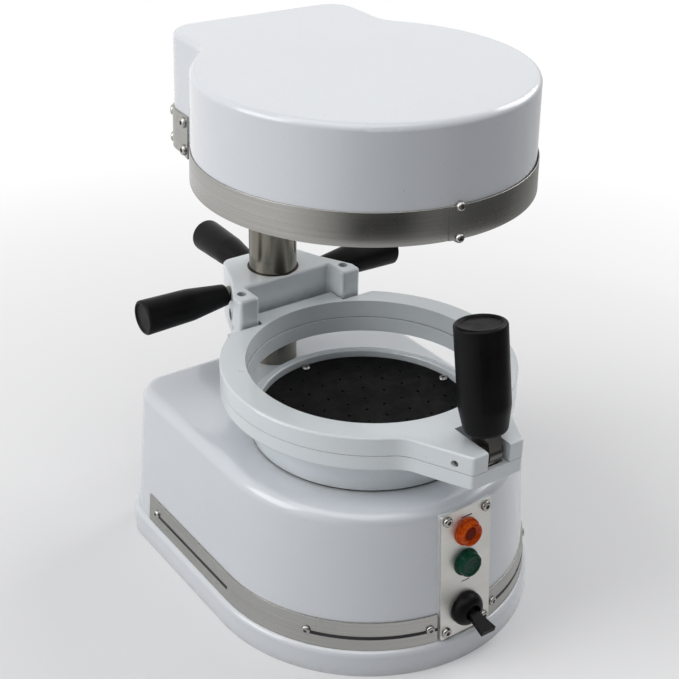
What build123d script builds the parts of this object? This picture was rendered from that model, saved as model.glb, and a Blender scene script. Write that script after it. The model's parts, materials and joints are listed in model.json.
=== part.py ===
from build123d import *
import math
import os

# Dental vacuum former on one column, in millimetres.
# A motor in the base sucks air down through a perforated disc. A carriage slides on the column and
# clamps a plastic sheet between two rings. A heater head swings over the sheet on top of the column.
# Origin: on the bench, on the axis of the rings. +Y points to the column, -Y to the control panel,
# +X to the right of the person at the panel, +Z up.

os.makedirs("parts", exist_ok=True)

# ---------------------------------------------------------------- driving dimensions

# fits
running_fit = 0.05        # radial play of a shaft in its bore
moving_gap = 0.35         # between pieces that pass each other
ring_gap = 0.2            # between the closed rings

# sheet metal, castings and their finish
shell_wall = 2.0
sheet = 0.9

# base
base_radius = 85.7
base_rear = 111.3
base_corner = 24.0
flange_height = 14.0
flange_round = 2.85
flange_ledge = 2.9
deck_height = 87.0
deck_round = 6.0
base_wall = 3.0
base_draft = 4.3          # degrees
plate_thickness = 2.0
plate_rim = 2.5
post_radius = 5.0
post_height = 28.0
post_merge = 1.5          # the posts run this far into the wall

# vacuum platform
platform_radius = 57.8
platform_height = 12.0
platform_round = 1.0
disc_radius = 53.5
disc_thickness = 2.0
disc_drop = 4.0           # from the rim down to the disc
platform_bore = 48.0
gasket_thickness = 1.0
vacuum_hole = 0.8
hole_rings = 4
deck_opening = 40.0

# vacuum motor and fan
fan_radius = 48.0
fan_height = 26.0
fan_wall = 1.8
fan_inlet = 20.0
fan_ear = 11.0
fan_ear_height = 3.0
fan_outlet_count = 8
fan_outlet_width = 12.0
fan_outlet_height = 6.0
impeller_radius = 42.0
impeller_hub = 9.0
impeller_plate = 1.6
impeller_gap = 2.0
vane_count = 8
vane_height = 15.0
vane_length = 30.0
vane_thickness = 1.4
vane_turn = 22.0          # degrees
shaft_radius = 4.0
shaft_clearance = 2.0
shaft_chamfer = 0.5
shaft_pocket = 8.0
motor_radius = 38.0
motor_length = 44.0
motor_flange_inset = 4.0
motor_flange = 3.0
motor_shoulder = 2.0
motor_chin = 7.0
cushion_outer = 30.0
cushion_inner = 16.0

# column and what clamps it
column_radius = 12.5
column_y = 86.5
column_foot = 48.0
column_boss = 19.0
column_chamfer = 0.8
boss_floor = 4.0
foot_bolt_radius = 5.0
foot_bolt_depth = 27.0
foot_bolt_head_radius = 10.0
foot_bolt_head_height = 7.0
stop_collar_lift = 0.5
stop_collar_height = 8.0
stop_collar_radius = 14.4
washer_thickness = 1.5
washer_radius = 13.8
top_bolt_radius = 4.0
top_bolt_depth = 17.0
top_bolt_head_radius = 6.5
top_bolt_head_height = 4.5
top_bolt_room = 2.1

# clamp rings
ring_radius = 72.5
lower_bore = 59.0
upper_bore = 60.0
ring_lift = 8.8           # from the platform's rim to the rings
lower_ring_height = 7.85
upper_ring_height = 9.25
ring_round = 1.2
lug_reach = 96.5
lug_tip_half = 14.3
lug_root_half = 32.5
lug_root_y = 60.0
lug_blend = 18.0
lug_corner = 2.5
lug_slot_half = 6.3
lug_slot_rear = 73.0
window_half = 5.0
window_front = 94.3
window_rear = 75.0
window_round = 1.0
tongue_root = 7.2
pin_sink = 1.2

# carriage
carriage_height = 31.2
carriage_step = 0.7       # above the underside of the rings
ear_half = 37.0
ear_inner = 25.5
ear_front = 58.7
ear_back = 72.2
ear_rear_y = 66.0
waist_half = 28.0
waist_y = 83.0
hub_half = 19.0
hub_rear = 107.0
hub_corner = 6.0
carriage_round = 1.5
ear_round = 2.2
bush_wall = 1.0
bush_length = 4.5
tongue_half = 24.8
ring_flat = 56.9
hinge_y = 66.8
hinge_pin_radius = 2.5
pin_inset = 1.5
set_screw_radius = 2.5
set_screw_length = 8.0
side_screw_height = 9.5
side_screw_radius = 3.2
side_screw_length = 9.0

# carriage grips
grip_height = 22.0        # above the carriage's underside
grip_start = 29.7
lock_start = 2.5          # clear of the carriage
grip_length = 48.0
grip_root_radius = 5.6
grip_shoulder = 21.0
grip_shoulder_radius = 8.4
grip_end_radius = 9.1
grip_end_round = 1.8
grip_lip = 0.8
stud_radius = 4.0
stud_depth = 12.0
stud_floor = 1.0

# latch
latch_y = -88.3
latch_height = 3.65       # above the upper ring's underside
latch_lean = 10.0         # degrees, top towards the column
latch_pin_radius = 1.6
latch_half = 3.6
latch_width = 12.0
latch_hub = 6.2
spacer_radius = 3.5
keeper_orbit = 8.0
keeper_angle = -12.3      # degrees from straight down, positive towards the column
keeper_radius = 1.5
hook_outer = 12.4
hook_inner = 9.8
hook_toe = 3.0            # degrees, where the toe ends
hook_arm_low = 28.0
hook_arm_high = 62.0
handle_start = 9.5
handle_length = 51.0
handle_foot_radius = 9.75
handle_low_radius = 11.9
handle_top_radius = 11.95
handle_rim_round = 1.5
handle_foot_round = 3.0
tang_radius = 4.0
tang_length = 25.0

# heater head
head_y = 4.0
head_turn = -2.6          # degrees about the column, as it stands at rest
head_radius = 77.6
head_gap = 93.9           # from the upper ring to the head
head_height = 51.0
head_draft = 1.3          # degrees
head_round = 3.0
neck_half = 50.8
neck_rear = 103.6
neck_corner = 15.0
neck_blend = 12.0
band_height = 15.0
band_end_y = 52.0
band_screw_inset = 1.9
band_screw_turn = -93.3   # degrees from +X towards +Y
seam_x = -9.0
seam_width = 0.5
seam_reach = 10.0
neck_plate_rise = 14.0
neck_plate_drop = 7.0
neck_screw_inset = 3.7
neck_plate_front = 77.0
neck_plate_inner = 38.0
neck_edge_sag = 1.5
floor_rise = 1.0
floor_thickness = 1.5
hub_block_half = 24.0
hub_block_front = 66.0
hub_block_rear = 100.4
hub_block_corner = 3.0
hub_screw_inset = 5.0
chassis_thickness = 2.0
chassis_lip = 1.0
pan_radius = 60.0
pan_wall = 1.0
heater_rise = 10.5        # above the head's floor
heater_tube = 3.25
heater_first = 14.0
heater_step = 5.5
heater_half_turns = 7
heater_bar_width = 8.0
heater_bar_height = 4.0
heater_bar_gap = 0.5

# control panel
panel_half = 15.0
panel_gap = 0.5           # above the flange
panel_drop = 3.2          # below the deck
panel_thickness = 1.2
panel_corner = 1.2
panel_screw_inset = 3.6
panel_set = 0.5           # the facet lies this far inside the drafted wall
pad_thickness = 2.3
lamp_radius = 6.4
lamp_barrel = 5.0
lamp_depth = 20.0
lamp_height = 5.0
lens_flange_radius = 7.0
lens_flange_height = 1.2
lens_taper = 10.0         # degrees
lens_round = 1.2
amber_drop = 12.8         # below the panel's top
lamp_pitch = 17.0
switch_rise = 13.5        # above the panel's lower edge
collar_radius = 8.6
collar_edge = 1.2
collar_height = 6.4
collar_mouth = 4.1
collar_wall = 1.4
bushing_radius = 5.9
bushing_height = 3.0
ball_radius = 3.35
socket_radius = 3.7
switch_pivot = 3.2        # out of the facet
switch_throw = 15.0       # degrees each way
switch_length = 15.8
switch_neck = 1.9
paddle_start = 4.0
paddle_root = 2.5
paddle_tip = 4.1
paddle_thickness = 3.0
switch_box_half = 9.0
switch_box_height = 28.0
switch_box_depth = 20.0
switch_box_start = 3.6
terminal_pitch = 9.0
terminal_width = 6.3
terminal_thickness = 0.8
terminal_length = 8.0

# trim strips
trim_top = 29.5
trim_rear = 80.5
trim_thickness = 0.8
trim_gap = 0.6
trim_screw_y = 72.0
trim_left_turn = -13.5    # degrees from the front
trim_bend_turn = 55       # the screws where the front bends into the sides
trim_right_turn = 13.2

# mains inlet and vents at the rear
inlet_x = -36.0
inlet_z = 44.0
inlet_half_width = 13.5
inlet_half_height = 10.0
inlet_depth = 22.0
inlet_cavity_half_width = 12.0
inlet_cavity_half_height = 8.0
inlet_cavity_depth = 16.0
inlet_flange_half = 24.0
inlet_flange_height = 11.5
inlet_flange_thickness = 2.0
inlet_corner = 4.0
inlet_screw_x = 19.5
inlet_screw_bite = 6.0
contact_spacing = 7.0
contact_drop = 2.0
contact_rise = 4.0
contact_half_width = 1.0
contact_half_height = 2.0
contact_length = 13.0
vent_x = 40.0
vent_z = 44.0
vent_width = 34.0
vent_height = 3.0
vent_pitch = 8.0
vent_count = 4
floor_vent_length = 22.0
floor_vent_width = 3.0
floor_vent_pitch = 8.0
floor_vent_count = 5
floor_vent_x = 56.0

# screws: small M2.4, middle M3, large M5
small_head_radius = 2.3
small_head_height = 1.3
small_shank = 1.2
middle_head_radius = 2.6
middle_head_height = 1.6
middle_shank = 1.5
large_head_radius = 4.2
large_head_height = 3.0
large_shank = 2.5
screw_bite = 4.0
hub_screw_bite = 12.0
foot_screw_head = 4.0
foot_screw_shank = 2.0
foot_screw_bite = 12.0
platform_screw_head_radius = 4.0
platform_screw_head_height = 2.8
platform_screw_bite = 5.0
platform_screw_play = 0.5
ring_screw_head_radius = 2.75
ring_screw_head_height = 2.8
ring_screw_sink = 3.2
ring_screw_bite = 8.0
ring_screw_pitch = 5.8
ring_screw_inset = 3.2

# ---------------------------------------------------------------- derived places

base_slope = math.tan(math.radians(base_draft))
head_slope = math.tan(math.radians(head_draft))
deck_under = deck_height - base_wall
platform_bottom = deck_height + gasket_thickness
platform_top = platform_bottom + platform_height
disc_top = platform_top - disc_drop
disc_bottom = disc_top - disc_thickness
fan_top = deck_under - gasket_thickness
fan_bottom = fan_top - fan_height
motor_bottom = fan_bottom - motor_length
lower_ring_bottom = platform_top + ring_lift
ring_split = lower_ring_bottom + lower_ring_height
upper_bottom = ring_split + ring_gap
upper_top = upper_bottom + upper_ring_height
hinge_z = (upper_bottom + upper_top) / 2
tongue_round = upper_ring_height / 2
carriage_bottom = lower_ring_bottom + carriage_step
carriage_top = carriage_bottom + carriage_height
grip_z = carriage_bottom + grip_height
side_screw_z = carriage_bottom + side_screw_height
bush_radius = column_radius + running_fit + bush_wall
latch_z = upper_bottom + latch_height
head_bottom = upper_top + head_gap
head_top = head_bottom + head_height
neck_plate_top = head_bottom + neck_plate_rise
neck_plate_bottom = head_bottom - neck_plate_drop
floor_z = head_bottom + floor_rise
heater_z = floor_z + heater_rise
collar_z = floor_z + floor_thickness + stop_collar_lift
hub_bottom = collar_z + stop_collar_height + washer_thickness + ring_gap
column_top = head_top - shell_wall - top_bolt_room - top_bolt_head_height - washer_thickness
chassis_top = column_top - ring_gap
hub_top = chassis_top - chassis_thickness
panel_bottom = flange_height + panel_gap
panel_top = deck_height - panel_drop
amber_z = panel_top - amber_drop
green_z = amber_z - lamp_pitch
switch_z = panel_bottom + switch_rise
keeper_y = latch_y + keeper_orbit * math.sin(math.radians(keeper_angle))
keeper_z = latch_z - keeper_orbit * math.cos(math.radians(keeper_angle))
everywhere = 400.0        # larger than the whole object


# ---------------------------------------------------------------- small fasteners

def drill(places, radius, depth):
    """Cuts round holes down from the seats at places, in the part being built."""
    with Locations(*places):
        Cylinder(radius, depth, align=(Align.CENTER, Align.CENTER, Align.MAX), mode=Mode.SUBTRACT)


def screws(places, head_radius, head_height, shank_radius, shank_length, socket=0.5):
    """Button head screws with a hexagon socket, standing on the seats at places."""
    with Locations(*places):
        Cylinder(head_radius, head_height, align=(Align.CENTER, Align.CENTER, Align.MIN))
        Cylinder(shank_radius, shank_length, align=(Align.CENTER, Align.CENTER, Align.MAX))
    with Locations(*[place * Pos(0, 0, head_height) for place in places]):
        Cone(
            head_radius * socket * 0.75,
            head_radius * socket,
            head_height * 0.6,
            align=(Align.CENTER, Align.CENTER, Align.MAX),
            mode=Mode.SUBTRACT,
        )


def down(points, z):
    """Seats on a level top at height z: the screws stand up out of it."""
    return [Location((x, y, z)) for x, y in points]


def up(points, z):
    """Seats on a level underside at height z: the screw heads hang below it."""
    return [Location((x, y, z), (180, 0, 0)) for x, y in points]


def on_circle(radius, angles, y=0.0):
    """Points on a circle about the ring axis, angles from the front, positive to +X."""
    spots = [math.radians(angle) for angle in angles]
    return [(radius * math.sin(spot), y - radius * math.cos(spot)) for spot in spots]


def finish(builder, name):
    """Names the finished piece and writes its file."""
    builder.part.label = name
    export_step(builder.part, f"parts/{name}.step")


def finish_turned(block, name):
    """Labels and writes a piece of the head, swung about the column to its rest."""
    turned = block.part.rotate(Axis((0, column_y, 0), (0, 0, 1)), head_turn)
    turned.label = name
    export_step(turned, f"parts/{name}.step")


# ---------------------------------------------------------------- base outlines

def base_outline(sketch, grow):
    """Plan of the base: a half circle in front, straight sides, two round rear corners."""
    half = base_radius + grow
    rear = base_rear + grow
    Circle(half)
    with Locations((0, rear / 2)):
        Rectangle(2 * half, rear)
    fillet(sketch.vertices().sort_by(Axis.Y)[-2:], radius=base_corner + grow)


def base_prism(grow, bottom, top, mode=Mode.ADD):
    """A drafted block with the walls' slope, grown from the walls' outer face."""
    inset = flange_ledge + (bottom - flange_height) * base_slope
    with BuildSketch(Plane.XY.offset(bottom)) as outline:
        base_outline(outline, grow - inset)
    extrude(outline.sketch, amount=top - bottom, taper=base_draft, mode=mode)


def facet_y(z):
    """Front facet of the base at height z."""
    return -(base_radius - flange_ledge - panel_set - (z - flange_height) * base_slope)


def facet(x, z, out=0.0):
    """Seat on the front facet, a little out of it, with its Z pointing out."""
    seat = Plane(
        origin=(x, facet_y(z), z),
        x_dir=(1, 0, 0),
        z_dir=(0, -math.cos(math.radians(base_draft)), math.sin(math.radians(base_draft))),
    )
    return seat.offset(out)


def rear_y(z):
    """Rear wall of the base at height z."""
    return base_rear - flange_ledge - (z - flange_height) * base_slope


def rear_seat(x, z, out=0.0):
    """Seat on the rear wall, with its Z pointing out."""
    seat = Plane(
        origin=(x, rear_y(z), z),
        x_dir=(-1, 0, 0),
        z_dir=(0, math.cos(math.radians(base_draft)), math.sin(math.radians(base_draft))),
    )
    return seat.offset(out)


def wall_seat(angle, z, out=0.0):
    """Seat on the round front wall, at an angle from the front, with its Z pointing out."""
    turn = math.radians(angle)
    slope = math.radians(base_draft)
    radius = base_radius - flange_ledge - (z - flange_height) * base_slope
    normal = (
        math.sin(turn) * math.cos(slope),
        -math.cos(turn) * math.cos(slope),
        math.sin(slope),
    )
    seat = Plane(
        origin=(radius * math.sin(turn), -radius * math.cos(turn), z),
        x_dir=(math.cos(turn), math.sin(turn), 0),
        z_dir=normal,
    )
    return seat.offset(out)


def side_seat(side, y, z, out=0.0):
    """Seat on a straight side wall of the base, with its Z pointing out."""
    slope = math.radians(base_draft)
    seat = Plane(
        origin=(side * (base_radius - flange_ledge - (z - flange_height) * base_slope), y, z),
        x_dir=(0, side, 0),
        z_dir=(side * math.cos(slope), 0, math.sin(slope)),
    )
    return seat.offset(out)


# ---------------------------------------------------------------- fastener places

post_inset = flange_ledge + base_wall + post_radius - post_merge
post_corner = base_corner - post_inset
post_spots = on_circle(base_radius - post_inset, (-80, -34, 34, 80))
for side in (-1, 1):
    corner_x = side * (base_radius - base_corner + post_corner * math.sqrt(0.5))
    corner_y = base_rear - base_corner + post_corner * math.sqrt(0.5)
    post_spots.append((corner_x, corner_y))
platform_turns = (45, 135, 225, 315)
platform_spots = on_circle((platform_radius + platform_bore) / 2, platform_turns)
disc_spots = on_circle((disc_radius + platform_bore) / 2, (3, 93, 183, 273))
panel_screw_x = panel_half - panel_screw_inset
panel_seats = [
    facet(x, z, panel_thickness)
    for x in (-panel_screw_x, panel_screw_x)
    for z in (panel_bottom + panel_screw_inset, panel_top - panel_screw_inset)
]
inlet_seats = [
    rear_seat(inlet_x + side * inlet_screw_x, inlet_z, inlet_flange_thickness) for side in (-1, 1)
]
trim_mid = (flange_height + trim_top) / 2
trim_seats = [
    wall_seat(trim_left_turn, trim_mid, trim_thickness),
    wall_seat(trim_right_turn, trim_mid, trim_thickness),
    wall_seat(-trim_bend_turn, trim_mid, trim_thickness),
    wall_seat(trim_bend_turn, trim_mid, trim_thickness),
    side_seat(-1, trim_screw_y, trim_mid, trim_thickness),
    side_seat(1, trim_screw_y, trim_mid, trim_thickness),
]

# ---------------------------------------------------------------- base housing

with BuildPart() as base_cavity:
    base_prism(-base_wall, 0, deck_under)
    fillet(base_cavity.faces().sort_by(Axis.Z)[-1].edges(), radius=deck_round - base_wall)

block_front = column_y - column_boss
block_rear = rear_y(deck_height) - base_wall / 2
with BuildPart() as column_block:
    with BuildSketch(Plane.XY.offset(column_foot - boss_floor)):
        with Locations((0, (block_front + block_rear) / 2)):
            Rectangle(2 * column_boss, block_rear - block_front)
    extrude(amount=deck_under - column_foot + boss_floor)

with BuildPart() as base_housing:
    with BuildSketch(Plane.XY) as flange_plan:
        base_outline(flange_plan, 0)
    extrude(amount=flange_height)
    fillet(base_housing.faces().sort_by(Axis.Z)[-1].edges(), radius=flange_round)
    base_prism(0, flange_height, deck_height)
    fillet(base_housing.faces().sort_by(Axis.Z)[-1].edges(), radius=deck_round)
    with BuildSketch(Plane.YZ) as pad_side:
        Polygon(
            (facet_y(flange_height), flange_height),
            (facet_y(panel_top), panel_top),
            (facet_y(panel_top) + pad_thickness, panel_top),
            (facet_y(flange_height) + pad_thickness, flange_height),
            align=None,
        )
    extrude(amount=panel_half, both=True)
    with BuildSketch(Plane.YZ) as facet_side:
        Polygon(
            (facet_y(flange_height), flange_height),
            (facet_y(panel_top), panel_top),
            (facet_y(panel_top) - flange_ledge, panel_top),
            (facet_y(flange_height) - flange_ledge, flange_height),
            align=None,
        )
    extrude(amount=panel_half, both=True, mode=Mode.SUBTRACT)
    add(base_cavity.part, mode=Mode.SUBTRACT)
    with BuildSketch(Plane.XY) as rebate:
        base_outline(rebate, -plate_rim)
    extrude(amount=plate_thickness, mode=Mode.SUBTRACT)
    add(column_block.part)
    with Locations(*down(post_spots, plate_thickness)):
        Cylinder(post_radius, post_height, align=(Align.CENTER, Align.CENTER, Align.MIN))
    drill(up(post_spots, plate_thickness), foot_screw_shank, foot_screw_bite)
    drill(down([(0, 0)], deck_height), deck_opening, base_wall)
    drill(down(platform_spots, deck_height), foot_screw_shank + platform_screw_play, base_wall)
    drill(down([(0, column_y)], deck_height), column_radius, deck_height - column_foot)
    drill(down([(0, column_y)], column_foot), foot_bolt_radius, boss_floor)
    drill([facet(0, z) for z in (amber_z, green_z)], lamp_barrel, lamp_depth)
    drill([facet(0, switch_z)], bushing_radius, lamp_depth)
    drill([seat.offset(-panel_thickness) for seat in panel_seats], middle_shank, screw_bite)
    drill([seat.offset(-trim_thickness) for seat in trim_seats], small_shank, base_wall)
    drill(
        [seat.offset(-inlet_flange_thickness) for seat in inlet_seats],
        middle_shank,
        inlet_screw_bite,
    )
    with BuildSketch(rear_seat(inlet_x, inlet_z)):
        Rectangle(2 * inlet_half_width, 2 * inlet_half_height)
    extrude(amount=-3 * base_wall, mode=Mode.SUBTRACT)
    with BuildSketch(rear_seat(vent_x, vent_z)):
        with GridLocations(0, vent_pitch, 1, vent_count):
            SlotOverall(vent_width, vent_height)
    extrude(amount=-3 * base_wall, mode=Mode.SUBTRACT)
finish(base_housing, "base_housing")

with BuildPart() as base_plate:
    with BuildSketch(Plane.XY) as plate_plan:
        base_outline(plate_plan, -plate_rim)
    extrude(amount=plate_thickness)
    for side in (-1, 1):
        with BuildSketch(Plane.XY):
            with Locations((side * floor_vent_x, 0)):
                with GridLocations(0, floor_vent_pitch, 1, floor_vent_count):
                    SlotOverall(floor_vent_length, floor_vent_width)
        extrude(amount=plate_thickness, mode=Mode.SUBTRACT)
    with Locations(*up(post_spots, 0)):
        Cone(
            foot_screw_shank,
            foot_screw_head,
            plate_thickness,
            align=(Align.CENTER, Align.CENTER, Align.MAX),
            mode=Mode.SUBTRACT,
        )
finish(base_plate, "base_plate")

with BuildPart() as base_plate_screws:
    with Locations(*up(post_spots, 0)):
        Cone(
            foot_screw_shank,
            foot_screw_head,
            plate_thickness,
            align=(Align.CENTER, Align.CENTER, Align.MAX),
        )
        Cylinder(
            foot_screw_shank,
            plate_thickness + foot_screw_bite,
            align=(Align.CENTER, Align.CENTER, Align.MAX),
        )
finish(base_plate_screws, "base_plate_screws")

# ---------------------------------------------------------------- vacuum platform

with BuildPart() as vacuum_platform:
    with BuildSketch(Plane.XZ) as platform_section:
        with BuildLine():
            Polyline(
                (platform_bore, platform_bottom),
                (platform_radius, platform_bottom),
                (platform_radius, platform_top),
                (disc_radius + running_fit, platform_top),
                (disc_radius + running_fit, disc_bottom),
                (platform_bore, disc_bottom),
                close=True,
            )
        make_face()
    revolve(axis=Axis.Z)
    rim_edges = vacuum_platform.edges().filter_by(GeomType.CIRCLE).group_by(Axis.Z)[-1]
    fillet(rim_edges, radius=platform_round)
    drill(up(platform_spots, platform_bottom), foot_screw_shank, platform_screw_bite)
    drill(down(disc_spots, disc_bottom), small_shank, screw_bite)
finish(vacuum_platform, "vacuum_platform")

with BuildPart() as vacuum_disc:
    with BuildSketch(Plane.XY.offset(disc_bottom)):
        Circle(disc_radius)
        for ring in range(hole_rings):
            radius = (ring + 1) * platform_bore / (hole_rings + 0.5)
            with PolarLocations(radius, 6 * (ring + 1)):
                Circle(vacuum_hole, mode=Mode.SUBTRACT)
        Circle(vacuum_hole, mode=Mode.SUBTRACT)
    extrude(amount=disc_thickness)
    drill(down(disc_spots, disc_top), small_shank, disc_thickness)
finish(vacuum_disc, "vacuum_disc")

with BuildPart() as disc_screws:
    screws(
        down(disc_spots, disc_top),
        small_head_radius,
        small_head_height,
        small_shank,
        disc_thickness + screw_bite,
    )
finish(disc_screws, "disc_screws")

with BuildPart() as gaskets:
    for top, outer, inner in (
        (platform_bottom, platform_radius - platform_round, platform_bore),
        (deck_under, fan_radius, deck_opening),
    ):
        with BuildSketch(Plane.XY.offset(top - gasket_thickness)):
            Circle(outer)
            Circle(inner, mode=Mode.SUBTRACT)
        extrude(amount=gasket_thickness)
    drill(
        down(platform_spots, platform_bottom),
        foot_screw_shank + platform_screw_play,
        gasket_thickness,
    )
finish(gaskets, "gaskets")

ear_bottom = fan_top - fan_ear_height
with BuildPart() as platform_screws:
    with Locations(*up(platform_spots, ear_bottom)):
        Cylinder(
            platform_screw_head_radius,
            platform_screw_head_height,
            align=(Align.CENTER, Align.CENTER, Align.MIN),
        )
        Cylinder(
            foot_screw_shank,
            platform_bottom + platform_screw_bite - ear_bottom,
            align=(Align.CENTER, Align.CENTER, Align.MAX),
        )
finish(platform_screws, "platform_screws")

# ---------------------------------------------------------------- vacuum motor

with BuildPart() as fan_case:
    with BuildSketch(Plane.XY.offset(fan_bottom)):
        Circle(fan_radius)
    extrude(amount=fan_height)
    with BuildSketch(Plane.XY.offset(fan_bottom + fan_wall)):
        Circle(fan_radius - fan_wall)
    extrude(amount=fan_height - 2 * fan_wall, mode=Mode.SUBTRACT)
    drill(down([(0, 0)], fan_top), fan_inlet, fan_wall)
    drill(down([(0, 0)], fan_bottom + fan_wall), shaft_radius + shaft_clearance, fan_wall)
    with BuildSketch(Plane.XY.offset(ear_bottom)):
        with Locations(*platform_spots, *on_circle(fan_radius, platform_turns)):
            Circle(fan_ear / 2)
        Circle(fan_radius - fan_wall / 2, mode=Mode.SUBTRACT)
    extrude(amount=fan_ear_height)
    with BuildSketch(Plane.XY.offset(fan_top)):
        with Locations(*platform_spots):
            Circle(fan_ear / 2)
        Circle(fan_radius, mode=Mode.SUBTRACT)
    extrude(amount=gasket_thickness)
    drill(
        down(platform_spots, deck_under),
        foot_screw_shank,
        fan_ear_height + gasket_thickness,
    )
    with Locations((0, 0, fan_bottom + fan_wall + fan_outlet_height)):
        with PolarLocations(fan_radius, fan_outlet_count, start_angle=180 / fan_outlet_count):
            Box(4 * fan_wall, fan_outlet_width, fan_outlet_height, mode=Mode.SUBTRACT)
finish(fan_case, "fan_case")

motor_flange_radius = fan_radius - motor_flange_inset
with BuildPart() as vacuum_motor:
    with BuildSketch(Plane.XZ) as motor_section:
        with BuildLine():
            Polyline(
                (shaft_radius + running_fit, fan_bottom),
                (motor_flange_radius, fan_bottom),
                (motor_flange_radius, fan_bottom - motor_flange),
                (motor_radius, fan_bottom - motor_flange - motor_shoulder),
                (motor_radius, motor_bottom + motor_chin),
                (cushion_outer, motor_bottom),
                (0, motor_bottom),
                (0, motor_bottom + shaft_pocket),
                (shaft_radius + running_fit, motor_bottom + shaft_pocket),
                close=True,
            )
        make_face()
    revolve(axis=Axis.Z)
finish(vacuum_motor, "vacuum_motor")

with BuildPart() as motor_cushion:
    with BuildSketch(Plane.XY.offset(plate_thickness)):
        Circle(cushion_outer)
        Circle(cushion_inner, mode=Mode.SUBTRACT)
    extrude(amount=motor_bottom - plate_thickness)
finish(motor_cushion, "motor_cushion")

impeller_bottom = fan_bottom + fan_wall + impeller_gap
shaft_foot = motor_bottom + shaft_pocket + moving_gap
shaft_top = impeller_bottom + vane_height + shaft_chamfer
with BuildPart() as motor_shaft:
    with BuildSketch(Plane.XY.offset(shaft_foot)):
        Circle(shaft_radius)
    extrude(amount=shaft_top - shaft_foot)
    chamfer(motor_shaft.edges().filter_by(GeomType.CIRCLE), length=shaft_chamfer)
finish(motor_shaft, "motor_shaft")

with BuildPart() as impeller:
    with BuildSketch(Plane.XY.offset(impeller_bottom)):
        Circle(impeller_radius)
    extrude(amount=impeller_plate)
    with BuildSketch(Plane.XY.offset(impeller_bottom)):
        Circle(impeller_hub)
    extrude(amount=vane_height)
    with BuildSketch(Plane.XY.offset(impeller_bottom)):
        with PolarLocations((impeller_radius + impeller_hub) / 2, vane_count):
            Rectangle(vane_length, vane_thickness, rotation=vane_turn)
    extrude(amount=vane_height)
    drill(down([(0, 0)], impeller_bottom + vane_height), shaft_radius, vane_height)
finish(impeller, "impeller")

# ---------------------------------------------------------------- control panel

panel_mid = (panel_bottom + panel_top) / 2
panel_length = (panel_top - panel_bottom) / math.cos(math.radians(base_draft))

with BuildPart() as control_panel:
    with BuildSketch(facet(0, panel_mid)):
        RectangleRounded(2 * panel_half, panel_length, panel_corner)
    extrude(amount=panel_thickness)
    drill(panel_seats, middle_shank, panel_thickness)
    drill([facet(0, z, panel_thickness) for z in (amber_z, green_z)], lamp_barrel, panel_thickness)
    drill([facet(0, switch_z, panel_thickness)], bushing_radius, panel_thickness)
finish(control_panel, "control_panel")

with BuildPart() as panel_screws:
    screws(
        panel_seats,
        middle_head_radius,
        middle_head_height,
        middle_shank,
        panel_thickness + screw_bite,
    )
finish(panel_screws, "panel_screws")

for lamp_z, lamp_name in ((amber_z, "amber_lens"), (green_z, "green_lens")):
    with BuildPart() as lens:
        with BuildSketch(facet(0, lamp_z, panel_thickness)):
            Circle(lens_flange_radius)
        extrude(amount=lens_flange_height)
        with BuildSketch(facet(0, lamp_z, panel_thickness + lens_flange_height)):
            Circle(lamp_radius)
        extrude(amount=lamp_height - lens_flange_height, taper=lens_taper)
        tip_axis = Axis(facet(0, lamp_z).origin, facet(0, lamp_z).z_dir)
        fillet(lens.faces().sort_by(tip_axis)[-1].edges(), radius=lens_round)
    finish(lens, lamp_name)

with BuildPart() as lamp_bodies:
    with BuildSketch(facet(0, amber_z, panel_thickness), facet(0, green_z, panel_thickness)):
        Circle(lamp_barrel)
    extrude(amount=-lamp_depth)
finish(lamp_bodies, "lamp_bodies")

with BuildPart() as switch_body:
    with BuildSketch(facet(0, switch_z, -switch_box_start)):
        Rectangle(2 * switch_box_half, switch_box_height)
    extrude(amount=-switch_box_depth)
    with BuildSketch(facet(0, switch_z, -switch_box_start)):
        Circle(bushing_radius)
    extrude(amount=switch_box_start + panel_thickness + bushing_height)
    with BuildSketch(facet(0, switch_z, switch_pivot - ball_radius - moving_gap)):
        Circle(socket_radius)
    extrude(amount=switch_box_depth, mode=Mode.SUBTRACT)
    with BuildSketch(facet(0, switch_z, -switch_box_start - switch_box_depth)):
        with GridLocations(0, terminal_pitch, 1, 3):
            Rectangle(terminal_width, terminal_thickness)
    extrude(amount=-terminal_length)
finish(switch_body, "switch_body")

collar_seat = facet(0, switch_z, panel_thickness)
collar_half = Plane(origin=collar_seat.origin, x_dir=(1, 0, 0), z_dir=collar_seat.y_dir * -1)
collar_shoulder = (collar_radius + collar_mouth) / 2
with BuildPart() as switch_collar:
    with BuildSketch(collar_half) as collar_section:
        with BuildLine():
            Line((bushing_radius, 0), (collar_radius, 0))
            Line((collar_radius, 0), (collar_radius, collar_edge))
            ThreePointArc(
                (collar_radius, collar_edge),
                (collar_shoulder + collar_wall / 2, collar_height - collar_wall),
                (collar_mouth, collar_height),
            )
            Line((collar_mouth, collar_height), (collar_mouth, collar_height - collar_wall))
            Line(
                (collar_mouth, collar_height - collar_wall),
                (bushing_radius, bushing_height + moving_gap),
            )
            Line((bushing_radius, bushing_height + moving_gap), (bushing_radius, 0))
        make_face()
    revolve(collar_section.sketch, axis=Axis(collar_seat.origin, collar_seat.z_dir))
finish(switch_collar, "switch_collar")

switch_turn = math.radians(base_draft - switch_throw)
switch_plane = Plane(
    origin=facet(0, switch_z, switch_pivot).origin,
    x_dir=(1, 0, 0),
    z_dir=(0, -math.cos(switch_turn), math.sin(switch_turn)),
)
with BuildPart() as switch_lever:
    with Locations(switch_plane):
        Sphere(ball_radius)
    with BuildSketch(switch_plane):
        Circle(switch_neck)
    extrude(amount=paddle_start + 1.0)
    with BuildSketch(switch_plane.offset(paddle_start)):
        Rectangle(2 * paddle_root, paddle_thickness)
    with BuildSketch(switch_plane.offset(switch_length)):
        Rectangle(2 * paddle_tip, paddle_thickness * 0.9)
    loft()
finish(switch_lever, "switch_lever")

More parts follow.
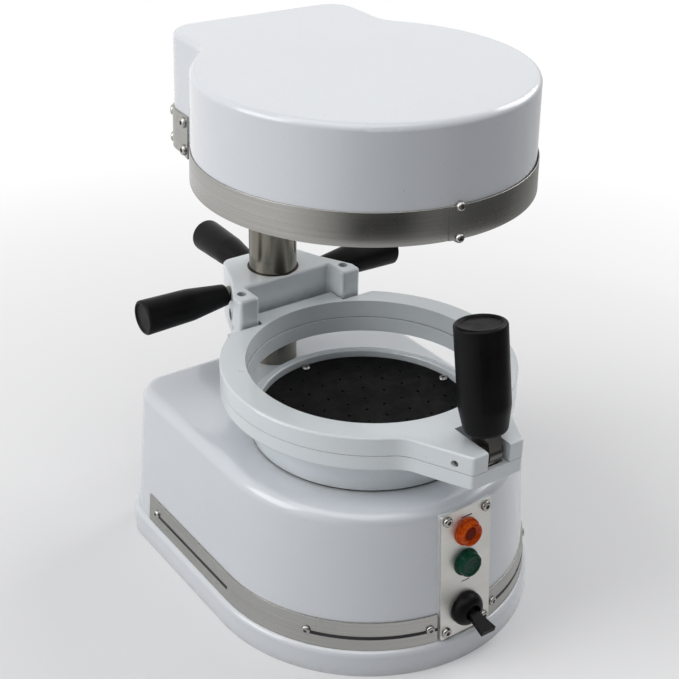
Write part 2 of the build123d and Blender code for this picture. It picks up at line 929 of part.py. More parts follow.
# ---------------------------------------------------------------- trim strips

for side, trim_name in ((-1, "trim_strip_left"), (1, "trim_strip_right")):
    with BuildPart() as trim_strip:
        base_prism(trim_thickness, flange_height, trim_top)
        base_prism(0, flange_height, trim_top, mode=Mode.SUBTRACT)
        with Locations((-side * (everywhere / 2 - panel_half - trim_gap), 0, 0)):
            Box(everywhere, everywhere, everywhere, mode=Mode.SUBTRACT)
        with Locations((0, trim_rear + everywhere / 2, 0)):
            Box(everywhere, everywhere, everywhere, mode=Mode.SUBTRACT)
        drill(trim_seats, small_shank, 2 * trim_thickness)
    finish(trim_strip, trim_name)

with BuildPart() as trim_screws:
    screws(
        trim_seats,
        small_head_radius,
        small_head_height,
        small_shank,
        trim_thickness + base_wall,
    )
finish(trim_screws, "trim_screws")

# ---------------------------------------------------------------- mains inlet

with BuildPart() as power_inlet:
    with BuildSketch(rear_seat(inlet_x, inlet_z)):
        RectangleRounded(2 * inlet_flange_half, 2 * inlet_flange_height, inlet_corner)
    extrude(amount=inlet_flange_thickness)
    with BuildSketch(rear_seat(inlet_x, inlet_z)):
        Rectangle(2 * inlet_half_width, 2 * inlet_half_height)
    extrude(amount=-inlet_depth)
    with BuildSketch(rear_seat(inlet_x, inlet_z, inlet_flange_thickness)):
        Rectangle(2 * inlet_cavity_half_width, 2 * inlet_cavity_half_height)
    extrude(amount=-inlet_cavity_depth, mode=Mode.SUBTRACT)
    drill(inlet_seats, middle_shank, inlet_flange_thickness)
finish(power_inlet, "power_inlet")

contact_floor = rear_seat(inlet_x, inlet_z, inlet_flange_thickness - inlet_cavity_depth)
with BuildPart() as inlet_contacts:
    with BuildSketch(contact_floor):
        with Locations(
            (-contact_spacing, -contact_drop), (0, contact_rise), (contact_spacing, -contact_drop)
        ):
            Rectangle(2 * contact_half_width, 2 * contact_half_height)
    extrude(amount=contact_length)
finish(inlet_contacts, "inlet_contacts")

with BuildPart() as inlet_screws:
    screws(
        inlet_seats,
        middle_head_radius,
        middle_head_height,
        middle_shank,
        inlet_flange_thickness + inlet_screw_bite,
    )
finish(inlet_screws, "inlet_screws")

# ---------------------------------------------------------------- column

with BuildPart() as column:
    with BuildSketch(Plane.XY.offset(column_foot)):
        with Locations((0, column_y)):
            Circle(column_radius)
    extrude(amount=column_top - column_foot)
    chamfer(column.edges().filter_by(GeomType.CIRCLE), length=column_chamfer)
    drill(up([(0, column_y)], column_foot), foot_bolt_radius, foot_bolt_depth)
    drill(down([(0, column_y)], column_top), top_bolt_radius, top_bolt_depth)
finish(column, "column")

with BuildPart() as stop_collar:
    with BuildSketch(Plane.XY.offset(collar_z)):
        with Locations((0, column_y)):
            Circle(stop_collar_radius)
            Circle(column_radius, mode=Mode.SUBTRACT)
    extrude(amount=stop_collar_height)
finish(stop_collar, "stop_collar")

with BuildPart() as column_washers:
    with BuildSketch(Plane.XY.offset(collar_z + stop_collar_height)):
        with Locations((0, column_y)):
            Circle(washer_radius)
            Circle(column_radius, mode=Mode.SUBTRACT)
    extrude(amount=washer_thickness)
    with BuildSketch(Plane.XY.offset(column_top)):
        with Locations((0, column_y)):
            Circle(washer_radius)
            Circle(top_bolt_radius, mode=Mode.SUBTRACT)
    extrude(amount=washer_thickness)
finish(column_washers, "column_washers")

with BuildPart() as column_bolts:
    screws(
        down([(0, column_y)], column_top + washer_thickness),
        top_bolt_head_radius,
        top_bolt_head_height,
        top_bolt_radius,
        washer_thickness + top_bolt_depth,
    )
    screws(
        up([(0, column_y)], column_foot - boss_floor),
        foot_bolt_head_radius,
        foot_bolt_head_height,
        foot_bolt_radius,
        boss_floor + foot_bolt_depth,
    )
finish(column_bolts, "column_bolts")

# ---------------------------------------------------------------- carriage

ear_mid = (ear_inner + ear_half) / 2
ring_screw_spots = [
    (side * ear_mid + step * ring_screw_pitch / 2, ear_front + ring_screw_inset)
    for side in (-1, 1)
    for step in (-1, 1)
]
bore_wall = bush_radius + stud_floor


def across(y, z, radius, half, mode=Mode.ADD, x=0.0):
    """A round bar along X, about a point."""
    with Locations(Location((x, y, z), (0, 90, 0))):
        Cylinder(radius, 2 * half, mode=mode)


with BuildPart() as carriage:
    with BuildSketch(Plane.XY.offset(carriage_bottom)) as carriage_plan:
        Polygon(
            (ear_half, ear_front),
            (ear_half, ear_rear_y),
            (waist_half, waist_y),
            (hub_half, hub_rear),
            (-hub_half, hub_rear),
            (-waist_half, waist_y),
            (-ear_half, ear_rear_y),
            (-ear_half, ear_front),
            (-ear_inner, ear_front),
            (-ear_inner, ear_back),
            (ear_inner, ear_back),
            (ear_inner, ear_front),
            align=None,
        )
        fillet(carriage_plan.vertices().group_by(Axis.Y)[-1], radius=hub_corner)
        fillet(carriage_plan.vertices().group_by(Axis.Y)[2], radius=carriage_round)
        fillet(carriage_plan.vertices().group_by(Axis.Y)[1], radius=hub_corner / 2)
        fillet(carriage_plan.vertices().group_by(Axis.Y)[0], radius=ear_round)
    extrude(amount=carriage_height)
    fillet(carriage.faces().sort_by(Axis.Z)[-1].edges(), radius=carriage_round)
    with Locations((0, ear_back - everywhere / 2, ring_split - everywhere / 2)):
        Box(everywhere, everywhere, everywhere, mode=Mode.SUBTRACT)
    drill(down([(0, column_y)], carriage_top), bush_radius, carriage_height)
    across(column_y, grip_z, stud_radius, waist_half - bore_wall, Mode.SUBTRACT, waist_half)
    across(column_y, grip_z, stud_radius, waist_half - bore_wall, Mode.SUBTRACT, -waist_half)
    with Locations(Location((0, hub_rear, grip_z), (-90, 0, 0))):
        Cylinder(
            stud_radius + running_fit,
            hub_rear - column_y,
            align=(Align.CENTER, Align.CENTER, Align.MAX),
            mode=Mode.SUBTRACT,
        )
    across(
        column_y,
        side_screw_z,
        side_screw_radius,
        waist_half - column_radius,
        Mode.SUBTRACT,
        -waist_half,
    )
    across(hinge_y, hinge_z, hinge_pin_radius, ear_half - pin_inset, Mode.SUBTRACT)
    drill(
        down([(-ear_mid, hinge_y), (ear_mid, hinge_y)], carriage_top),
        set_screw_radius,
        carriage_top - hinge_z,
    )
    drill(up(ring_screw_spots, ring_split), middle_shank, ring_screw_bite)
finish(carriage, "carriage")

with BuildPart() as carriage_bushes:
    with BuildSketch(
        Plane.XY.offset(carriage_bottom), Plane.XY.offset(carriage_top - bush_length)
    ):
        with Locations((0, column_y)):
            Circle(bush_radius)
            Circle(column_radius + running_fit, mode=Mode.SUBTRACT)
    extrude(amount=bush_length)
finish(carriage_bushes, "carriage_bushes")

with BuildPart() as hinge_pin:
    across(hinge_y, hinge_z, hinge_pin_radius, ear_half - pin_inset)
finish(hinge_pin, "hinge_pin")

with BuildPart() as set_screws:
    with BuildSketch(Plane.XY.offset(hinge_z + hinge_pin_radius)):
        with Locations((-ear_mid, hinge_y), (ear_mid, hinge_y)):
            Circle(set_screw_radius)
    extrude(amount=set_screw_length)
    across(
        column_y,
        side_screw_z,
        side_screw_radius,
        side_screw_length / 2,
        x=-column_radius - moving_gap - side_screw_length / 2,
    )
finish(set_screws, "set_screws")


def grip(root, along):
    """A tapered knob with a round end, from its root outwards."""
    section_plane = Plane(origin=root, x_dir=along, z_dir=(-along[1], along[0], 0))
    with BuildSketch(section_plane) as section:
        Polygon(
            (0, 0),
            (0, grip_root_radius - grip_lip),
            (grip_lip, grip_root_radius),
            (grip_shoulder, grip_shoulder_radius),
            (grip_length, grip_end_radius),
            (grip_length, 0),
            align=None,
        )
        rim_corner = section.vertices().sort_by_distance(root)[-1]
        fillet(rim_corner, radius=grip_end_round)
    revolve(section.sketch, axis=Axis(root, along))
    stud_hole = Plane(origin=root, z_dir=along)
    with BuildSketch(stud_hole) as hole:
        Circle(stud_radius)
    extrude(hole.sketch, amount=stud_depth, mode=Mode.SUBTRACT)


with BuildPart() as left_grip:
    grip((-grip_start, column_y, grip_z), (-1, 0, 0))
finish(left_grip, "left_grip")

with BuildPart() as right_grip:
    grip((grip_start, column_y, grip_z), (1, 0, 0))
finish(right_grip, "right_grip")

stud_half = (grip_start + stud_depth - bore_wall) / 2
with BuildPart() as grip_studs:
    across(column_y, grip_z, stud_radius, stud_half, x=bore_wall + stud_half)
    across(column_y, grip_z, stud_radius, stud_half, x=-bore_wall - stud_half)
finish(grip_studs, "grip_studs")

lock_root = hub_rear + lock_start
lock_tip = column_y + column_radius + moving_gap
with BuildPart() as lock_screw:
    with BuildSketch(Plane(origin=(0, lock_tip, grip_z), z_dir=(0, 1, 0))):
        Circle(stud_radius)
    extrude(amount=lock_root + stud_depth - lock_tip)
finish(lock_screw, "lock_screw")

with BuildPart() as lock_grip:
    grip((0, lock_root, grip_z), (0, 1, 0))
finish(lock_grip, "lock_grip")

# ---------------------------------------------------------------- clamp rings


def ring_plan(sketch):
    """Plan of a ring with its front lug, without the bore."""
    Circle(ring_radius)
    Polygon(
        (lug_tip_half, -lug_reach),
        (lug_root_half, -lug_root_y),
        (-lug_root_half, -lug_root_y),
        (-lug_tip_half, -lug_reach),
        align=None,
    )
    fillet(sketch.vertices().group_by(Axis.Y)[1], radius=lug_blend)
    fillet(sketch.vertices().group_by(Axis.Y)[0], radius=lug_corner)


lug_slope = (lug_root_half - lug_tip_half) / (lug_reach - lug_root_y)
latch_pin_half = lug_tip_half + (lug_reach + latch_y) * lug_slope - pin_sink
keeper_half = lug_tip_half + (lug_reach + keeper_y) * lug_slope - pin_sink

with BuildPart() as lower_ring:
    with BuildSketch(Plane.XY.offset(lower_ring_bottom)) as lower_plan:
        ring_plan(lower_plan)
    extrude(amount=lower_ring_height)
    fillet(lower_ring.faces().sort_by(Axis.Z)[0].edges(), radius=ring_round)
    with Locations((0, ear_back + everywhere / 2, 0)):
        Box(everywhere, everywhere, everywhere, mode=Mode.SUBTRACT)
    with BuildSketch(Plane.XY.offset(lower_ring_bottom)):
        with Locations((0, ear_back / 2 + lower_bore / 2)):
            Rectangle(2 * ear_half, ear_back - lower_bore)
        with Locations((0, ear_back - (ear_back - ear_front) / 2)):
            Rectangle(2 * ear_half, ear_back - ear_front)
    extrude(amount=lower_ring_height)
    drill(down([(0, 0)], ring_split), lower_bore, lower_ring_height)
    with BuildSketch(Plane.XY.offset(lower_ring_bottom)) as window:
        with Locations((0, -(window_front + window_rear) / 2)):
            RectangleRounded(2 * window_half, window_front - window_rear, window_round)
    extrude(amount=lower_ring_height, mode=Mode.SUBTRACT)
    across(keeper_y, keeper_z, keeper_radius, keeper_half, Mode.SUBTRACT)
    drill(down(ring_screw_spots, ring_split), middle_shank, lower_ring_height)
    drill(up(ring_screw_spots, lower_ring_bottom), ring_screw_head_radius, ring_screw_sink)
finish(lower_ring, "lower_ring")

with BuildPart() as lower_ring_screws:
    screws(
        up(ring_screw_spots, lower_ring_bottom + ring_screw_sink),
        ring_screw_head_radius,
        ring_screw_head_height,
        middle_shank,
        lower_ring_height - ring_screw_sink + ring_screw_bite,
    )
finish(lower_ring_screws, "lower_ring_screws")

with BuildPart() as keeper_pin:
    across(keeper_y, keeper_z, keeper_radius, keeper_half)
finish(keeper_pin, "keeper_pin")

with BuildPart() as upper_ring:
    with BuildSketch(Plane.XY.offset(upper_bottom)) as upper_plan:
        ring_plan(upper_plan)
    extrude(amount=upper_ring_height)
    fillet(upper_ring.faces().sort_by(Axis.Z)[-1].edges(), radius=ring_round)
    with Locations((0, ring_flat + everywhere / 2, 0)):
        Box(everywhere, everywhere, everywhere, mode=Mode.SUBTRACT)
    with BuildSketch(Plane.XY.offset(upper_bottom)):
        with Locations((0, (hinge_y + ring_flat - tongue_root) / 2)):
            Rectangle(2 * tongue_half, hinge_y - ring_flat + tongue_root)
    extrude(amount=upper_ring_height)
    across(hinge_y, hinge_z, tongue_round, tongue_half)
    drill(down([(0, 0)], upper_top), upper_bore, upper_ring_height)
    across(hinge_y, hinge_z, hinge_pin_radius + running_fit, tongue_half + 1, Mode.SUBTRACT)
    with Locations((0, -lug_slot_rear - everywhere / 2, hinge_z)):
        Box(2 * lug_slot_half, everywhere, 2 * upper_ring_height, mode=Mode.SUBTRACT)
    across(latch_y, latch_z, latch_pin_radius, latch_pin_half + 2 * pin_sink, Mode.SUBTRACT)
finish(upper_ring, "upper_ring")

with BuildPart() as latch_pin:
    across(latch_y, latch_z, latch_pin_radius, latch_pin_half)
finish(latch_pin, "latch_pin")

spacer_half = (lug_slot_half - latch_half - moving_gap / 2) / 2
with BuildPart() as latch_spacers:
    for side in (-1, 1):
        across(latch_y, latch_z, spacer_radius, spacer_half, x=side * (lug_slot_half - spacer_half))
    across(latch_y, latch_z, latch_pin_radius, lug_slot_half, Mode.SUBTRACT)
finish(latch_spacers, "latch_spacers")

# ---------------------------------------------------------------- latch


def hook_point(radius, angle):
    """A point about the latch pivot, angle from straight down towards the column."""
    turn = math.radians(angle)
    return (latch_y + radius * math.sin(turn), latch_z - radius * math.cos(turn))


def hook_sector(inner, outer, low, high):
    """A ring sector about the latch pivot."""
    with BuildSketch() as sector:
        with BuildLine():
            ThreePointArc(
                hook_point(outer, low),
                hook_point(outer, (low + high) / 2),
                hook_point(outer, high),
            )
            Line(hook_point(outer, high), hook_point(inner, high))
            ThreePointArc(
                hook_point(inner, high),
                hook_point(inner, (low + high) / 2),
                hook_point(inner, low),
            )
            Line(hook_point(inner, low), hook_point(outer, low))
        make_face()
    return sector.sketch


lean = math.radians(latch_lean)
handle_plane = Plane(
    origin=(0, latch_y, latch_z), x_dir=(1, 0, 0), z_dir=(0, math.sin(lean), math.cos(lean))
)

with BuildPart() as latch_lever:
    with BuildSketch(Plane.YZ):
        with Locations((latch_y, latch_z)):
            Circle(latch_hub)
            Rectangle(
                latch_width, handle_start, rotation=-latch_lean, align=(Align.CENTER, Align.MIN)
            )
        add(hook_sector(hook_inner, hook_outer, hook_toe, hook_arm_high))
        add(hook_sector(latch_hub - 0.5, hook_outer, hook_arm_low, hook_arm_high))
    extrude(amount=latch_half, both=True)
    with BuildSketch(handle_plane.offset(handle_start)):
        Circle(tang_radius)
    extrude(amount=tang_length)
    across(latch_y, latch_z, latch_pin_radius + running_fit, 2 * latch_half, Mode.SUBTRACT)
finish(latch_lever, "latch_lever")

handle_section = Plane(
    origin=(0, latch_y, latch_z), x_dir=(1, 0, 0), z_dir=(0, -math.cos(lean), math.sin(lean))
)
with BuildPart() as latch_grip:
    with BuildSketch(handle_section) as grip_section:
        Polygon(
            (0, handle_start),
            (handle_foot_radius, handle_start),
            (handle_low_radius, handle_start + 0.25 * handle_length),
            (handle_top_radius, handle_start + handle_length),
            (0, handle_start + handle_length),
            align=None,
        )
        rim = max(grip_section.vertices(), key=lambda corner: corner.X + corner.Y)
        fillet(rim, radius=handle_rim_round)
        foot = max(grip_section.vertices(), key=lambda corner: corner.X - corner.Y)
        fillet(foot, radius=handle_foot_round)
    revolve(axis=Axis(handle_plane.origin, handle_plane.z_dir))
    with BuildSketch(handle_plane.offset(handle_start)):
        Circle(tang_radius)
    extrude(amount=tang_length, mode=Mode.SUBTRACT)
finish(latch_grip, "latch_grip")

# ---------------------------------------------------------------- heater head


def head_outline(sketch, grow):
    """Plan of the head: a round front about the rings, a narrower neck round the column."""
    with Locations((0, head_y)):
        Circle(head_radius + grow)
    with Locations((0, (head_y + neck_rear + grow) / 2)):
        Rectangle(2 * (neck_half + grow), neck_rear + grow - head_y)
    fillet(sketch.vertices().group_by(Axis.Y)[-2], radius=neck_blend - grow)
    fillet(sketch.vertices().group_by(Axis.Y)[-1], radius=neck_corner + grow)


def head_prism(grow, bottom, top, mode=Mode.ADD):
    """A drafted block with the slope of the head's walls, grown from their outer face."""
    with BuildSketch(Plane.XY.offset(bottom)) as outline:
        head_outline(outline, grow - (bottom - head_bottom) * head_slope)
    extrude(outline.sketch, amount=top - bottom, taper=head_draft, mode=mode)


def keep_neck_sides():
    """Leaves only the two rear corners of the neck."""
    with Locations((0, neck_plate_front - everywhere / 2, head_top)):
        Box(everywhere, everywhere, everywhere, mode=Mode.SUBTRACT)
    with Locations((0, 0, head_top)):
        Box(2 * neck_plate_inner, everywhere, everywhere, mode=Mode.SUBTRACT)


def head_seat(x, y, turn, z, out):
    """Seat on the head's wall, turn is the way it faces, from +X towards +Y."""
    facing = math.radians(turn)
    slope = math.radians(head_draft)
    inset = (z - head_bottom) * head_slope
    seat = Plane(
        origin=(x - inset * math.cos(facing), y - inset * math.sin(facing), z),
        x_dir=(-math.sin(facing), math.cos(facing), 0),
        z_dir=(
            math.cos(facing) * math.cos(slope),
            math.sin(facing) * math.cos(slope),
            math.sin(slope),
        ),
    )
    return seat.offset(out)


band_seats = [
    head_seat(
        head_radius * math.cos(math.radians(band_screw_turn)),
        head_y + head_radius * math.sin(math.radians(band_screw_turn)),
        band_screw_turn,
        z,
        sheet,
    )
    for z in (head_bottom + band_screw_inset, head_bottom + band_height - band_screw_inset)
]
neck_seats = []
corner_reach = neck_corner * math.sqrt(0.5)
neck_screw_y = neck_plate_front + neck_screw_inset
for z in (neck_plate_bottom + neck_screw_inset, neck_plate_top - neck_screw_inset):
    for side, flat_turn, corner_turn in ((-1, 180, 135), (1, 0, 45)):
        neck_seats.append(head_seat(side * neck_half, neck_screw_y, flat_turn, z, sheet))
        neck_seats.append(
            head_seat(
                side * (neck_half - neck_corner + corner_reach),
                neck_rear - neck_corner + corner_reach,
                corner_turn,
                z,
                sheet,
            )
        )
hub_spots = [
    (side * (hub_block_half - hub_screw_inset), y)
    for side in (-1, 1)
    for y in (hub_block_front + hub_screw_inset, hub_block_rear - hub_screw_inset)
]

with BuildPart() as head_shell:
    head_prism(0, floor_z, head_top)
    fillet(head_shell.faces().sort_by(Axis.Z)[-1].edges(), radius=head_round)
    head_prism(-shell_wall, floor_z, head_top - shell_wall, mode=Mode.SUBTRACT)
    drill([seat.offset(-sheet) for seat in band_seats], small_shank, 1.5 * shell_wall)
    drill([seat.offset(-sheet) for seat in neck_seats], middle_shank, 1.5 * shell_wall)
finish_turned(head_shell, "head_shell")

seam_rise = head_radius - math.sqrt(head_radius**2 - seam_x**2) - sheet / 2
with BuildPart() as head_band:
    head_prism(sheet, head_bottom, head_bottom + band_height)
    head_prism(running_fit, head_bottom, head_bottom + band_height, mode=Mode.SUBTRACT)
    with Locations((0, band_end_y + everywhere / 2, head_bottom)):
        Box(everywhere, everywhere, everywhere, mode=Mode.SUBTRACT)
    with Locations((seam_x, head_y - head_radius - seam_reach / 2 + seam_rise, head_bottom)):
        Box(seam_width, seam_reach, everywhere, mode=Mode.SUBTRACT)
    drill(band_seats, small_shank, 2 * sheet)
finish_turned(head_band, "head_band")

with BuildPart() as band_screws:
    screws(
        band_seats,
        small_head_radius,
        small_head_height,
        small_shank,
        sheet + shell_wall,
    )
finish_turned(band_screws, "band_screws")

plate_span = neck_rear + sheet - neck_plate_front
edge_radius = (plate_span**2 / 4 + neck_edge_sag**2) / (2 * neck_edge_sag)
with BuildPart() as neck_plates:
    head_prism(sheet, neck_plate_bottom, neck_plate_top)
    head_prism(0, neck_plate_bottom, neck_plate_top, mode=Mode.SUBTRACT)
    keep_neck_sides()
    across(
        neck_plate_front + plate_span / 2,
        neck_plate_bottom + neck_edge_sag - edge_radius,
        edge_radius,
        everywhere / 2,
        Mode.SUBTRACT,
    )
    drill(neck_seats, middle_shank, 2 * sheet)
finish_turned(neck_plates, "neck_plates")

with BuildPart() as neck_screws:
    screws(
        neck_seats,
        middle_head_radius,
        middle_head_height,
        middle_shank,
        sheet + shell_wall + chassis_thickness,
    )
finish_turned(neck_screws, "neck_screws")

lip_bottom = neck_plate_bottom + chassis_lip
with BuildPart() as chassis_flanges:
    head_prism(-shell_wall, lip_bottom, hub_top)
    head_prism(-shell_wall - chassis_thickness, lip_bottom, hub_top, mode=Mode.SUBTRACT)
    keep_neck_sides()

with BuildPart() as head_chassis:
    head_prism(-shell_wall, hub_top, chassis_top)
    add(chassis_flanges.part)
    drill(down([(0, column_y)], chassis_top), column_radius + moving_gap, chassis_thickness)
    drill(down(hub_spots, chassis_top), large_shank, chassis_thickness)
    drill(
        [seat.offset(-sheet - shell_wall / 2) for seat in neck_seats],
        middle_shank,
        shell_wall + 3 * chassis_thickness,
    )
finish_turned(head_chassis, "head_chassis")

with BuildPart() as head_hub:
    with BuildSketch(Plane.XY.offset(hub_bottom)):
        with Locations((0, (hub_block_front + hub_block_rear) / 2)):
            RectangleRounded(
                2 * hub_block_half, hub_block_rear - hub_block_front, hub_block_corner
            )
        with Locations((0, column_y)):
            Circle(column_radius + running_fit, mode=Mode.SUBTRACT)
    extrude(amount=hub_top - hub_bottom)
    drill(down(hub_spots, hub_top), large_shank, hub_screw_bite)
finish_turned(head_hub, "head_hub")

with BuildPart() as hub_screws:
    screws(
        down(hub_spots, chassis_top),
        large_head_radius,
        large_head_height,
        large_shank,
        chassis_thickness + hub_screw_bite,
    )
finish_turned(hub_screws, "hub_screws")

with BuildPart() as head_floor:
    head_prism(-shell_wall, floor_z, floor_z + floor_thickness)
    drill(down([(0, head_y)], floor_z + floor_thickness), pan_radius, floor_thickness)
    drill(
        down([(0, column_y)], floor_z + floor_thickness),
        column_radius + 3 * moving_gap,
        floor_thickness,
    )
    add(chassis_flanges.part, mode=Mode.SUBTRACT)
finish_turned(head_floor, "head_floor")

with BuildPart() as heater_pan:
    with BuildSketch(Plane.XY.offset(floor_z)):
        with Locations((0, head_y)):
            Circle(pan_radius)
    extrude(amount=hub_top - floor_z)
    with BuildSketch(Plane.XY.offset(floor_z)):
        with Locations((0, head_y)):
            Circle(pan_radius - pan_wall)
    extrude(amount=hub_top - pan_wall - floor_z, mode=Mode.SUBTRACT)
finish_turned(heater_pan, "heater_pan")

# The heater's tube is one flat spiral of half turns, each wider than the last by one step.
coil_samples = 12
coil_points = []
with BuildPart() as heater_element:
    with BuildLine(Plane.XY.offset(heater_z)) as coil:
        coil_end = (heater_first - heater_step / 2, head_y)
        for turn in range(heater_half_turns):
            way = 1 if turn % 2 == 0 else -1
            radius = heater_first + turn * heater_step
            centre = coil_end[0] - way * radius
            middle = (centre, head_y + way * radius)
            far = (centre - way * radius, head_y)
            ThreePointArc(coil_end, middle, far)
            for part in range(coil_samples):
                angle = math.pi * part / coil_samples
                across_x = centre + way * radius * math.cos(angle)
                coil_points.append((across_x, head_y + way * radius * math.sin(angle)))
            coil_end = far
    with BuildSketch(coil.line ^ 0):
        Circle(heater_tube)
    sweep()
finish_turned(heater_element, "heater_element")
coil_gap = min(
    math.dist(coil_points[i], coil_points[j]) - 2 * heater_tube
    for i in range(len(coil_points))
    for j in range(i + coil_samples - 2, len(coil_points))
)
print("least gap between the heater's turns", round(coil_gap, 2))

heater_bar_length = 2 * (pan_radius - pan_wall - heater_bar_gap)
with BuildPart() as heater_bars:
    with BuildSketch(Plane.XY.offset(heater_z + heater_tube)):
        with Locations((0, head_y)):
            Rectangle(heater_bar_length, heater_bar_width)
            Rectangle(heater_bar_width, heater_bar_length)
    extrude(amount=heater_bar_height)
finish_turned(heater_bars, "heater_bars")
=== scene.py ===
import json
import math

import bmesh
import bpy
from mathutils import Matrix, Vector


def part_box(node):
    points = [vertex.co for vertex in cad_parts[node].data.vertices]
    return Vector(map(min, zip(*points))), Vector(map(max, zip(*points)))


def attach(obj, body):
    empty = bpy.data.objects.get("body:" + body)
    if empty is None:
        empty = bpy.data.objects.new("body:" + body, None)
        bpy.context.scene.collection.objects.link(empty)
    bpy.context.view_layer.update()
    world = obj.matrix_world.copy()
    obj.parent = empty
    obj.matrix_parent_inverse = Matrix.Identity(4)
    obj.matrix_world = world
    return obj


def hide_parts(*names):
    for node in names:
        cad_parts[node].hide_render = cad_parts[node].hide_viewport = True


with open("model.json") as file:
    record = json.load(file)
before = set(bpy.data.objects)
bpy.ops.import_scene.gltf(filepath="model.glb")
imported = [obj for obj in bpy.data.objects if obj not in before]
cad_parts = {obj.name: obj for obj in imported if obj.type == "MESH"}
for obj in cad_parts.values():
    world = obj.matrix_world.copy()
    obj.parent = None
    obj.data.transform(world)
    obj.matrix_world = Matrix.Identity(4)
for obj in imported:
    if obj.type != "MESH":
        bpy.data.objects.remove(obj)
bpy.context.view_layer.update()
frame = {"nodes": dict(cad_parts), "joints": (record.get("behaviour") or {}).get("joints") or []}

# Looks of a dental vacuum former, in metres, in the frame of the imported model.
# -Y is the side with the control panel, +Y the side with the column.

nodes = frame["nodes"]
MM = 0.001

# ---------------------------------------------------------------- places taken from the frame

base_draft = math.radians(4.3)
facet_normal = Vector((0, -math.cos(base_draft), math.sin(base_draft)))


def centre(node):
    low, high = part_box(node)
    return (low + high) / 2


# ---------------------------------------------------------------- material helpers


class Nodes:
    """A small helper that builds one material's node tree."""

    def __init__(self, name):
        self.material = bpy.data.materials.new(name)
        self.material.use_nodes = True
        self.tree = self.material.node_tree
        self.shader = self.tree.nodes["Principled BSDF"]
        self.place = self.add("ShaderNodeTexCoord").outputs["Object"]

    def add(self, kind, **settings):
        node = self.tree.nodes.new(kind)
        for key, value in settings.items():
            setattr(node, key, value)
        return node

    def link(self, source, target):
        self.tree.links.new(source, target)

    def set(self, **values):
        for key, value in values.items():
            self.shader.inputs[key.replace("_", " ")].default_value = value

    def scaled(self, scale, rotation=(0, 0, 0)):
        mapping = self.add("ShaderNodeMapping")
        mapping.inputs["Scale"].default_value = scale
        mapping.inputs["Rotation"].default_value = rotation
        self.link(self.place, mapping.inputs["Vector"])
        return mapping.outputs["Vector"]

    def noise(self, scale, detail=3.0, roughness=0.5, vector=None, distortion=0.0):
        node = self.add("ShaderNodeTexNoise")
        node.inputs["Scale"].default_value = scale
        node.inputs["Detail"].default_value = detail
        node.inputs["Roughness"].default_value = roughness
        node.inputs["Distortion"].default_value = distortion
        self.link(vector or self.place, node.inputs["Vector"])
        return node.outputs["Fac"]

    def ramp(self, factor, stops, interpolation="LINEAR"):
        node = self.add("ShaderNodeValToRGB")
        node.color_ramp.interpolation = interpolation
        while len(node.color_ramp.elements) < len(stops):
            node.color_ramp.elements.new(0.5)
        for element, (position, color) in zip(node.color_ramp.elements, stops):
            element.position = position
            element.color = color if len(color) == 4 else (*color, 1.0)
        self.link(factor, node.inputs["Fac"])
        return node.outputs["Color"]

    def span(self, factor, low, high, from_low=0.0, from_high=1.0):
        node = self.add("ShaderNodeMapRange")
        node.inputs["From Min"].default_value = from_low
        node.inputs["From Max"].default_value = from_high
        node.inputs["To Min"].default_value = low
        node.inputs["To Max"].default_value = high
        self.link(factor, node.inputs["Value"])
        return node.outputs["Result"]

    def mix(self, factor, first, second, blend="MIX"):
        node = self.add("ShaderNodeMix", data_type="RGBA", blend_type=blend)
        for socket, value in (("Factor", factor), ("A", first), ("B", second)):
            target = next(
                s for s in node.inputs
                if s.name == socket and s.type == ("VALUE" if socket == "Factor" else "RGBA")
            )
            if isinstance(value, (float, int)):
                target.default_value = value
            elif isinstance(value, tuple):
                target.default_value = (*value, 1.0)
            else:
                self.link(value, target)
        return next(s for s in node.outputs if s.type == "RGBA")

    def bump(self, height, strength, distance, normal=None):
        node = self.add("ShaderNodeBump")
        node.inputs["Strength"].default_value = strength
        node.inputs["Distance"].default_value = distance
        self.link(height, node.inputs["Height"])
        if normal:
            self.link(normal, node.inputs["Normal"])
        return node.outputs["Normal"]

    def soft_edges(self, radius):
        node = self.add("ShaderNodeBevel", samples=4)
        node.inputs["Radius"].default_value = radius
        return node.outputs["Normal"]

    def crevices(self, distance):
        node = self.add("ShaderNodeAmbientOcclusion", samples=6)
        node.inputs["Distance"].default_value = distance
        return node.outputs["AO"]

    def edge_mask(self, radius, low, high):
        """Near 1 on outer and inner edges, 0 on flat faces."""
        bevel = self.soft_edges(radius)
        geometry = self.add("ShaderNodeNewGeometry")
        dot = self.add("ShaderNodeVectorMath", operation="DOT_PRODUCT")
        self.link(bevel, dot.inputs[0])
        self.link(geometry.outputs["Normal"], dot.inputs[1])
        return self.span(dot.outputs["Value"], 1.0, 0.0, low, high)

    def surface(self, color=None, roughness=None, normal=None):
        if color is not None:
            self.link(color, self.shader.inputs["Base Color"])
        if roughness is not None:
            self.link(roughness, self.shader.inputs["Roughness"])
        if normal is not None:
            self.link(normal, self.shader.inputs["Normal"])
        return self.material


# ---------------------------------------------------------------- materials


